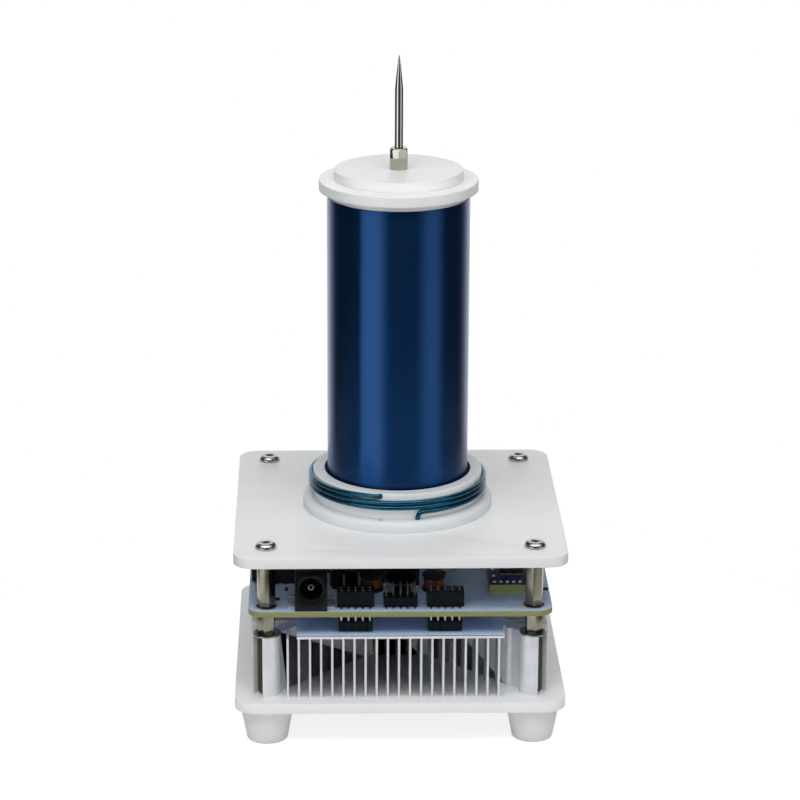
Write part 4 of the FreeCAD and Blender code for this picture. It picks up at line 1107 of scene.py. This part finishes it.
@dataclass
class HeatSink:
    """The upright extrusion: core, diagonal arms, slotted corner posts and parallel fins."""

    side: float = mm(83.9)
    core_side: float = mm(22.02)
    arm_thickness: float = mm(3.78)
    post_radius: float = mm(3.93)
    bore_radius: float = mm(2.57)
    slot_width: float = mm(3.67)
    fin_count: int = 20
    first_fin: float = mm(-31.58)
    fin_pitch: float = mm(3.1153)
    fin_thickness: float = mm(0.6)
    stub_radius: float = mm(1.15)
    stub_x: float = mm(31.05)
    stub_y: float = mm(-33.15)
    edge_easing: float = mm(0.1)
    arc_steps: int = 28

    def prism(self, shape: Shape, outline: Sequence[Point], low: float, high: float) -> None:
        """Add an upright bar of one outline."""
        face = shape.faces.new([shape.verts.new((x, y, low)) for x, y in outline])
        raised = bmesh.ops.extrude_face_region(shape, geom=[face])["geom"]
        upper = [item for item in raised if isinstance(item, bmesh.types.BMVert)]
        bmesh.ops.translate(shape, verts=upper, vec=(0, 0, high - low))

    def post(self, x: float, y: float) -> list[Point]:
        """Outline of a post: a ring that is open outwards along its diagonal."""
        facing = math.atan2(y, x)
        outline = []
        for radius, backwards in ((self.post_radius, False), (self.bore_radius, True)):
            gap = math.asin(self.slot_width / 2 / radius)
            angles = [
                facing + gap + (2 * math.pi - 2 * gap) * step / self.arc_steps
                for step in range(self.arc_steps + 1)
            ]
            if backwards:
                angles.reverse()
            outline += [(x + radius * math.cos(angle), y + radius * math.sin(angle)) for angle in angles]
        return outline

    def arm(self, turn: float) -> list[Point]:
        """Outline of one arm, from the core to a post's wall."""
        start = self.core_side / 4
        end = HOLE_SPACING / math.sqrt(2) - (self.post_radius + self.bore_radius) / 2
        half = self.arm_thickness / 2
        along = Vector((math.cos(turn), math.sin(turn)))
        across = Vector((-along.y, along.x))
        corners = ((start, -half), (end, -half), (end, half), (start, half))
        return [tuple(along * distance + across * offset) for distance, offset in corners]

    def build(self) -> None:
        """Make the sink in one skin."""
        extent = Extent.of("heat_sink")
        low, high = extent.low.z, extent.high.z
        shape = bmesh.new()
        half = self.core_side / 2
        self.prism(shape, ((-half, -half), (half, -half), (half, half), (-half, half)), low, high)
        reach = HOLE_SPACING / math.sqrt(2)
        angles = [2 * math.pi * step / self.arc_steps for step in range(self.arc_steps)]
        for quarter in range(4):
            turn = math.pi / 4 + math.pi / 2 * quarter
            self.prism(shape, self.arm(turn), low, high)
            self.prism(shape, self.post(reach * math.cos(turn), reach * math.sin(turn)), low, high)
            stub = Matrix.Rotation(math.pi / 2 * quarter, 2) @ Vector((self.stub_x, self.stub_y))
            circle = [
                (stub.x + self.stub_radius * math.cos(angle), stub.y + self.stub_radius * math.sin(angle))
                for angle in angles
            ]
            self.prism(shape, circle, low, high)
        bmesh.ops.recalc_face_normals(shape, faces=shape.faces)
        sink = as_object("heat_sink_finned", shape)
        FinTree().run(
            sink, material_of(SINK_METAL), Count=self.fin_count, First=self.first_fin, Pitch=self.fin_pitch,
            Thickness=self.fin_thickness, Half_Side=self.side / 2, Inner=self.core_side / 4,
            Low=low, Height=high - low,
        )
        ease(sink, self.edge_easing, 1)
        show(sink, SINK_METAL, "heat_sink")


# Spacers, washers and rods

@dataclass
class Stacks:
    """The metal parts between the plates at the four corners."""

    spacer_easing: float = mm(0.1)
    washer_radius: float = mm(3.99)
    washer_bore: float = mm(1.7)
    washer_easing: float = mm(0.08)
    washer_easing_steps: int = 3
    rod_radius: float = mm(2.37)
    rod_bore: float = mm(1.55)
    thread_pitch: float = mm(0.8)
    thread_depth: float = mm(0.37)

    def build(self) -> None:
        """Make the spacers, the washers and the threaded rods."""
        for node in ("lower_standoffs", "upper_standoffs"):
            refined(node, "plated", NICKEL_PLATE, self.spacer_easing)
        extent = Extent.of("post_washers")
        corners = [
            Corner(radius, height, self.washer_easing)
            for radius, height in (
                (self.washer_bore, extent.low.z), (self.washer_radius, extent.low.z),
                (self.washer_radius, extent.high.z), (self.washer_bore, extent.high.z),
            )
        ]
        profile = eased(corners, closed=True, steps=self.washer_easing_steps)
        washer = turned(profile, MIDDLE_ROUND_STEPS, True)
        at_corners("post_washers_turned", washer, WASHER_STEEL, "post_washers")
        self.build_rods()

    def build_rods(self) -> None:
        """Make the rods, each with a thread's crests outside and a bore inside."""
        extent = Extent.of("channel_rods")
        turns = int(extent.size.z / self.thread_pitch)
        pitch = extent.size.z / turns
        profile = [(self.rod_bore, extent.low.z)]
        for index in range(turns):
            foot = extent.low.z + index * pitch
            profile += [(self.rod_radius - self.thread_depth, foot), (self.rod_radius, foot + pitch / 2)]
        profile += [(self.rod_radius - self.thread_depth, extent.high.z), (self.rod_bore, extent.high.z)]
        rod = turned(profile, SMALL_ROUND_STEPS, True)
        at_corners("channel_rods_threaded", rod, NICKEL_PLATE, "channel_rods")


# Boards and their parts

@dataclass
class Boards:
    """The power board, the main board, the wireless module and all that is soldered to them."""

    pin_pitch: float = mm(2.0)
    pin_columns: int = 5
    pin_width: float = mm(0.5)
    pin_tip_height: float = mm(0.35)
    foot_height: float = mm(0.3)
    foot_reach: float = mm(1.2)
    header_spacing: float = mm(25.1)
    header_row_y: float = mm(-37.3)
    header_depth: float = mm(4.2)
    choke_wire_radius: float = mm(0.2)
    choke_wire_turns: int = 7
    choke_wire_steps: int = 32
    choke_wire_sides: int = 10
    ring_radius: float = mm(3.5)
    # Between the bore and this radius the board is painted dark as the shadow round each standoff's foot
    shadow_radius: float = mm(2.9)
    ring_bore: float = mm(1.7)
    ring_height: float = mm(0.05)

    def build(self) -> None:
        """Make both boards and their parts."""
        core_level = Extent.of("power_board")
        metal_core = MetalCore(
            "metal_core_board", Slot.METAL_CORE, paint(184, 203, 230), paint(50, 55, 62), (0.80, 0.82, 0.85),
            core_level.low.z, core_level.size.z,
        )
        looks: tuple[tuple[Finish, float, tuple[str, ...]], ...] = (
            (metal_core, HAIR, ("power_board",)),
            (MAIN_LAMINATE, SOFT, ("main_board",)),
            (MAIN_LAMINATE, HAIR, ("module_carrier",)),
            (MODULE_LAMINATE, FINE, ("module_board",)),
            (BLACK_MOULDED, SOFT, ("module_chip", "driver_chips", "power_transistors")),
            (BLACK_MOULDED, FINE, ("header_left", "header_right", "socket_left", "socket_right", "spare_header")),
            (BLACK_MOULDED, ROUND, ("audio_jack_body",)),
            (BLACK_GLOSSY, ROUND, ("dc_jack_body",)),
            (BLACK_SLEEVE, 0.0, ("bulk_capacitors", "small_capacitors")),
            (TIN_PLATE, HAIR, ("module_chip_pins", "audio_jack_tabs", "lamp_contacts", "driver_chip_pins")),
            (TIN_PLATE, FINE, ("dc_jack_tabs",)),
            (TIN_PLATE, SOFT, ("transistor_tabs",)),
            # Tin darkened as painted shade for the socket feet and the power pin
            (SHADED_TIN, HAIR, ("socket_feet",)),
            (SHADED_TIN, 0.0, ("dc_jack_pin",)),
            (BRIGHT_SOLDER, SOFT, ("module_pads", "solder_joints")),
            (FERRITE, ROUND, ("choke_cores",)),
            (GREY_CASE, 0.0, ("film_capacitors",)),
            (LAMP_BODY, SOFT, ("indicator_lamp",)),
            (CHIP_CERAMIC, HAIR, ("chip_parts",)),
            (POLISHED_STEEL, 0.0, ("board_screws",)),
        )
        for finish, easing, nodes in looks:
            for node in nodes:
                refined(node, "finished", finish, easing)
        self.build_pins()
        self.build_chokes()
        self.build_hole_rings()

    def pin(self, foot: float, tip: float) -> Shape:
        """A square pin with a chamfered tip and a foot that points backwards.

        Args:
            foot: the height of the board that it stands on.
            tip: the height of its tip.

        Returns:
            Its mesh, on the axis.
        """
        shape = bmesh.new()
        half = self.pin_width / 2
        bends = (
            (half, foot), (half, tip - self.pin_tip_height), (half / 2, tip),
        )
        rings = []
        for reach, height in bends:
            corners = ((-reach, -reach), (reach, -reach), (reach, reach), (-reach, reach))
            rings.append([shape.verts.new((x, y, height)) for x, y in corners])
        skin(shape, rings, False)
        shape.faces.new(reversed(rings[0]))
        shape.faces.new(rings[-1])
        back = self.header_depth / 2 + self.foot_reach - self.pin_pitch / 2
        low = [shape.verts.new((x, y, foot)) for x, y in ((-half, 0), (half, 0), (half, back), (-half, back))]
        high = [shape.verts.new((*corner.co.xy, foot + self.foot_height)) for corner in low]
        skin(shape, [low, high], False)
        shape.faces.new(reversed(low))
        shape.faces.new(high)
        bmesh.ops.recalc_face_normals(shape, faces=shape.faces)
        return shape

    def build_pins(self) -> None:
        """Make the pins of the two joined headers and of the spare one."""
        for name, side, finish, nodes in (
            ("header_pins_left", -1, TIN_PLATE, ("header_pins",)),
            ("header_pins_right", 1, TIN_PLATE, ()),
            # The spare pins take the tin darkened as painted shade
            ("spare_pins", 0, SHADED_TIN, ("spare_header_pins",)),
        ):
            extent = Extent.of(nodes[0] if nodes else "header_pins")
            pins = as_object(name, self.pin(extent.low.z, extent.high.z))
            centre = (side * self.header_spacing / 2, self.header_row_y, 0.0)
            look = material_of(finish)
            pin_tree.run(pins, look, Columns=self.pin_columns, Pitch=self.pin_pitch, Centre=centre)
            show(pins, finish, *nodes)

    def build_chokes(self) -> None:
        """Make the copper turns of the two chokes."""
        extent = Extent.of("choke_windings")
        radius = extent.size.y / 2 - self.choke_wire_radius
        low = extent.low.z + self.choke_wire_radius
        rise = extent.size.z - 2 * self.choke_wire_radius
        reach = extent.size.x / 2 - extent.size.y / 2
        look = material_of(CLEAR_ENAMEL)
        for name, side, nodes in (("choke_turns_left", -1, ["choke_windings"]), ("choke_turns_right", 1, [])):
            centre = Vector((extent.centre.x + side * reach, extent.centre.y, low))
            count = self.choke_wire_turns * self.choke_wire_steps
            points = []
            for index in range(count + 1):
                angle = 2 * math.pi * index / self.choke_wire_steps
                height = rise * index / count
                points.append(centre + Vector((radius * math.cos(angle), radius * math.sin(angle), height)))
            turns = line_object(name, points)
            wire_tree.run(turns, look, Radius=self.choke_wire_radius, Sides=self.choke_wire_sides)
            show(turns, CLEAR_ENAMEL, *nodes)

    def build_hole_rings(self) -> None:
        """Make the tinned rings round the main board's corner holes, each with a dark ring of painted shadow
        inside it round the standoff's foot.
        """
        level = Extent.of("main_board").high.z
        low, high = level - self.ring_height, level + self.ring_height
        for name, inner, outer, finish in (
            ("board_hole_rings", self.shadow_radius, self.ring_radius, BRIGHT_SOLDER),
            # The dark ring is painted shadow round the standoff's foot
            ("board_hole_seats", self.ring_bore, self.shadow_radius, PAINTED_SHADOW_RING),
        ):
            profile = [(inner, low), (outer, low), (outer, high), (inner, high)]
            at_corners(name, turned(profile, MIDDLE_ROUND_STEPS, True), finish)


# Primary coil

@dataclass
class PrimaryCoil:
    """The flange, the ring and the thick wire with its two leads."""

    ring_radius: float = mm(24.3)
    wire_radius: float = mm(0.66)
    seat_gap: float = mm(0.02)
    pitch: float = mm(1.469)
    second_turn_height: float = mm(65.39)
    last_rise: float = mm(0.3)
    rise_angle: float = math.radians(45)
    lower_lead_angle: float = math.radians(11.7)
    end_angle: float = math.radians(-17.0 + 360 * 3)
    lead_bend: float = mm(1.7)
    dive_bend: float = mm(2.1)
    dive_angle: float = math.radians(60)
    down_bend: float = mm(1.35)
    turn_steps: int = 120
    bend_steps: int = 10
    sides: int = 20

    def path_radius(self) -> float:
        """Radius of the wire's centre line."""
        return self.ring_radius + self.seat_gap + self.wire_radius

    def helix(self, angle: float) -> Vector:
        """A point of the winding; the angle grows from the front to the right."""
        height = self.second_turn_height + self.pitch * (angle / (2 * math.pi) - 2)
        share = max(0.0, 1 - (self.end_angle - angle) / self.rise_angle)
        height += self.last_rise * share * share * (3 - 2 * share)
        radius = self.path_radius()
        return Vector((radius * math.sin(angle), -radius * math.cos(angle), height))

    def bend(self, corner: Vector, along: Vector, onward: Vector, radius: float) -> list[Vector]:
        """Points of an arc round a corner.

        Args:
            corner: where the two directions meet.
            along: the direction before.
            onward: the direction after.
            radius: the arc's radius.

        Returns:
            Points from the arc's start to its end.
        """
        turn = along.angle(onward)
        reach = radius * math.tan(turn / 2)
        start = corner - along * reach
        inward = (onward - along * math.cos(turn)).normalized()
        return [
            start + along * (radius * math.sin(angle)) + inward * (radius * (1 - math.cos(angle)))
            for angle in (turn * step / self.bend_steps for step in range(self.bend_steps + 1))
        ]

    def path(self) -> list[Vector]:
        """The wire's whole centre line, from the lower lead's foot to the upper lead's foot."""
        board = Extent.of("main_board").high.z
        start = self.lower_lead_angle + math.asin(self.lead_bend / self.path_radius())
        level = Vector((math.cos(start), math.sin(start), 0))
        lead_corner = self.helix(start) - level * self.lead_bend
        lower = self.bend(lead_corner, Vector((0, 0, 1)), level, self.lead_bend)
        points = [Vector((lead_corner.x, lead_corner.y, board))] + lower
        count = int((self.end_angle - start) / (2 * math.pi) * self.turn_steps)
        for index in range(1, count + 1):
            points.append(self.helix(start + (self.end_angle - start) * index / count))
        along = Vector((math.cos(self.end_angle), math.sin(self.end_angle), 0))
        inward = Vector((-math.sin(self.end_angle), math.cos(self.end_angle), 0))
        heading = along * math.cos(self.dive_angle) + inward * math.sin(self.dive_angle)
        corner = points[-1] + along * (self.dive_bend * math.tan(self.dive_angle / 2))
        points += self.bend(corner, along, heading, self.dive_bend)[1:]
        down = Vector((0, 0, -1))
        points += self.bend(points[-1] + heading * self.down_bend, heading, down, self.down_bend)
        points.append(Vector((points[-1].x, points[-1].y, board)))
        return points

    def build(self) -> None:
        """Make the flange, the ring and the wire."""
        for node in ("primary_flange", "primary_former"):
            refined(node, "moulded", WHITE_MOULDED)
        wire = line_object("primary_wire", self.path())
        wire_tree.run(wire, material_of(TEAL_ENAMEL), Radius=self.wire_radius, Sides=self.sides)
        show(wire, TEAL_ENAMEL, "primary_winding")


# Secondary coil, cap and needle

@dataclass
class SecondaryCoil:
    """The wound tube with its plugs, screws and leads."""

    sleeve_easing: float = mm(0.12)
    fit_gap: float = mm(0.02)

    def build(self) -> None:
        """Make the winding's skin and dress the tube and what it holds."""
        extent = Extent.of("secondary_winding")
        outer = extent.size.x / 2
        inner = Extent.of("secondary_tube").size.x / 2 + self.fit_gap
        corners = [
            Corner(inner, extent.low.z), Corner(outer, extent.low.z, self.sleeve_easing),
            Corner(outer, extent.high.z, self.sleeve_easing), Corner(inner, extent.high.z),
        ]
        shape = turned(eased(corners, closed=True), FINE_ROUND_STEPS, True)
        show(as_object("secondary_winding_skin", shape), BLUE_WINDING, "secondary_winding")
        refined("secondary_tube", "moulded", WHITE_TUBE)
        for end in ("base", "cap"):
            dress(f"{end}_plug", WHITE_MOULDED)
            dress(f"{end}_screw", POLISHED_STEEL)
        for node in ("ground_lead", "top_lead"):
            refined(node, "wire", CLEAR_ENAMEL)


@dataclass
class Cap:
    """The two discs, the needle's holder and the needle."""

    holder_easing: float = mm(0.12)
    needle_radius: float = mm(1.2)
    cone_length: float = mm(9.8)
    tip_radius: float = mm(0.13)
    cone_fullness: float = 1.18
    cone_steps: int = 16
    needle_steps: int = 48

    def build(self) -> None:
        """Make the discs, the holder and the needle."""
        for node in ("cap_disc_lower", "cap_disc_upper"):
            refined(node, "moulded", WHITE_ACRYLIC)
        refined("needle_holder", "plated", BRIGHT_NICKEL, self.holder_easing)
        extent = Extent.of("discharge_needle")
        base = extent.high.z - self.cone_length
        profile = [(0.0, extent.low.z), (self.needle_radius, extent.low.z)]
        for step in range(self.cone_steps + 1):
            share = step / self.cone_steps
            width = (1 - share ** self.cone_fullness) * (self.needle_radius - self.tip_radius)
            profile.append((self.tip_radius + width, base + self.cone_length * share))
        profile.append((0.0, extent.high.z))
        needle = as_object("needle_ground", turned(profile, self.needle_steps))
        show(needle, GROUND_STEEL, "discharge_needle", body=Body.NEEDLE)


# Studio

class Glow(Enum):
    """What a light panel is for: matt surfaces, glossy ones or both."""

    MATT = "matt"
    GLOSS = "gloss"
    BOTH = "both"


@dataclass(frozen=True)
class Panel:
    """A soft light panel, set by its direction from the object."""

    name: str
    azimuth: float
    elevation: float
    distance: float
    width: float
    height: float
    power: float
    glow: Glow = Glow.BOTH

    def build(self, target: Vector) -> None:
        """Hang the panel, facing the target."""
        lamp = bpy.data.lights.new(self.name, "AREA")
        lamp.shape = "RECTANGLE"
        lamp.size = self.width
        lamp.size_y = self.height
        lamp.energy = self.power
        turn, rise = math.radians(self.azimuth), math.radians(self.elevation)
        away = Vector((math.sin(turn) * math.cos(rise), -math.cos(turn) * math.cos(rise), math.sin(rise)))
        holder = bpy.data.objects.new(self.name, lamp)
        holder.location = target + away * self.distance
        holder.rotation_euler = away.to_track_quat("Z", "Y").to_euler()
        holder.visible_camera = False
        holder.visible_diffuse = self.glow is not Glow.GLOSS
        holder.visible_glossy = self.glow is not Glow.MATT
        bpy.context.scene.collection.objects.link(holder)


@dataclass
class Studio:
    """Camera, lights, floor and backdrop."""

    target: Vector
    camera_place: tuple[float, float, float] = (mm(-22.343), mm(-828.566), mm(353.706))
    yaw: float = math.radians(-1.59)
    pitch: float = math.radians(-17.78)
    roll: float = math.radians(0.27)
    focal_pixels: float = 3035.4
    picture_width: float = 800.0
    sensor_width: float = 36.0
    floor_radius: float = 0.14
    floor_colour: Colour = (0.5, 0.5, 0.5)
    floor_lift: float = 0.78
    front_level: float = 0.06
    back_level: float = 0.2
    back_edge: Point = (0.55, 0.85)
    panels: tuple[Panel, ...] = (
        Panel("left_panel", -46.0, 52.0, 1.1, 0.85, 0.5, 3.2),
        Panel("right_panel", 52.0, 52.0, 1.1, 0.76, 0.5, 2.4),
        Panel("front_panel", 3.0, 54.0, 1.1, 0.85, 0.4, 2.6),
        Panel("top_panel", 0.0, 80.0, 1.2, 0.9, 0.9, 3.1),
        Panel("back_panel", 180.0, 52.0, 1.1, 0.9, 0.5, 1.2),
        Panel("front_fill", -1.6, -2.0, 1.2, 0.22, 0.2, 3.8, Glow.MATT),
        Panel("left_fill", -70.0, -2.0, 1.2, 0.35, 0.2, 1.6, Glow.MATT),
        Panel("right_fill", 66.0, -2.0, 1.2, 0.35, 0.2, 1.6, Glow.MATT),
        Panel("back_fill", 180.0, -2.0, 1.2, 0.6, 0.2, 4.4, Glow.MATT),
        Panel("left_low_panel", -44.0, -12.0, 1.1, 0.72, 0.8, 2.9, Glow.GLOSS),
        Panel("right_low_panel", 54.0, -12.0, 1.1, 0.62, 0.8, 1.4, Glow.GLOSS),
    )

    def build(self) -> None:
        """Set up the whole studio."""
        self.build_camera()
        self.build_floor()
        self.build_room()
        for panel in self.panels:
            panel.build(self.target)
        bpy.context.scene.view_settings.view_transform = "Standard"

    def build_camera(self) -> None:
        """Stand the camera where the photograph was taken."""
        forward = Vector((
            -math.sin(self.yaw) * math.cos(self.pitch), math.cos(self.yaw) * math.cos(self.pitch),
            math.sin(self.pitch),
        ))
        right = forward.cross(Vector((0, 0, 1))).normalized()
        up = right.cross(forward)
        rolled_right = right * math.cos(self.roll) + up * math.sin(self.roll)
        rolled_up = up * math.cos(self.roll) - right * math.sin(self.roll)
        lens = bpy.data.cameras.new("camera")
        lens.sensor_width = self.sensor_width
        lens.lens = self.focal_pixels / self.picture_width * self.sensor_width
        camera = bpy.data.objects.new("camera", lens)
        turn = Matrix((rolled_right, rolled_up, -forward)).transposed()
        camera.matrix_world = Matrix.Translation(self.camera_place) @ turn.to_4x4()
        bpy.context.scene.collection.objects.link(camera)
        bpy.context.scene.camera = camera

    def build_floor(self) -> None:
        """Lay a pale floor that looks white and keeps the object's shadow."""
        shape = bmesh.new()
        bmesh.ops.create_circle(shape, cap_ends=True, segments=ROUND_STEPS, radius=self.floor_radius)
        floor = as_object("floor", shape)
        recipe = Recipe("pale_floor")
        matt = recipe.add("ShaderNodeBsdfDiffuse", {"Color": (*self.floor_colour, 1.0)})
        shown = recipe.seen("Camera", "Glossy", "Transmission")
        lift = recipe.reach(shown, WHOLE_SPAN, (0.0, self.floor_lift))
        glow = recipe.add("ShaderNodeEmission", {"Strength": lift})
        both = recipe.add("ShaderNodeAddShader", {0: matt.outputs[0], 1: glow.outputs[0]})
        floor.data.materials.append(recipe.end(both))

    def build_room(self) -> None:
        """Make a room that is white to look at: pale behind the object, and dim in front of it."""
        world = bpy.data.worlds.new("pale_room")
        world.use_nodes = True
        graph = Graph(world.node_tree)
        graph.nodes.clear()
        around = graph.add("ShaderNodeTexCoord").outputs["Generated"]
        depth = graph.add("ShaderNodeSeparateXYZ", {"Vector": around}).outputs["Y"]
        behind = graph.reach(depth, self.back_edge, WHOLE_SPAN)
        back = graph.reach(graph.seen("Glossy", "Transmission"), WHOLE_SPAN, (self.back_level, 1.0))
        level = graph.reach(behind, WHOLE_SPAN, (self.front_level, back))
        strength = graph.reach(graph.seen("Camera"), WHOLE_SPAN, (level, 1.0))
        background = graph.add("ShaderNodeBackground", {"Color": (1.0, 1.0, 1.0, 1.0), "Strength": strength})
        graph.add("ShaderNodeOutputWorld", {"Surface": background.outputs[0]})
        bpy.context.scene.world = world


def main() -> None:
    """Build the studio and every sub-assembly in order."""
    logging.basicConfig(level=logging.INFO, format="%(message)s")
    target = Vector((0.0, 0.0, (packed_bounds[0].z + packed_bounds[1].z) / 2))
    Studio(target).build()
    for assembly in (Plates(), HeatSink(), Stacks(), Boards(), PrimaryCoil(), SecondaryCoil(), Cap()):
        log.info("%s", type(assembly).__name__)
        assembly.build()


if __name__ == "__main__":
    main()
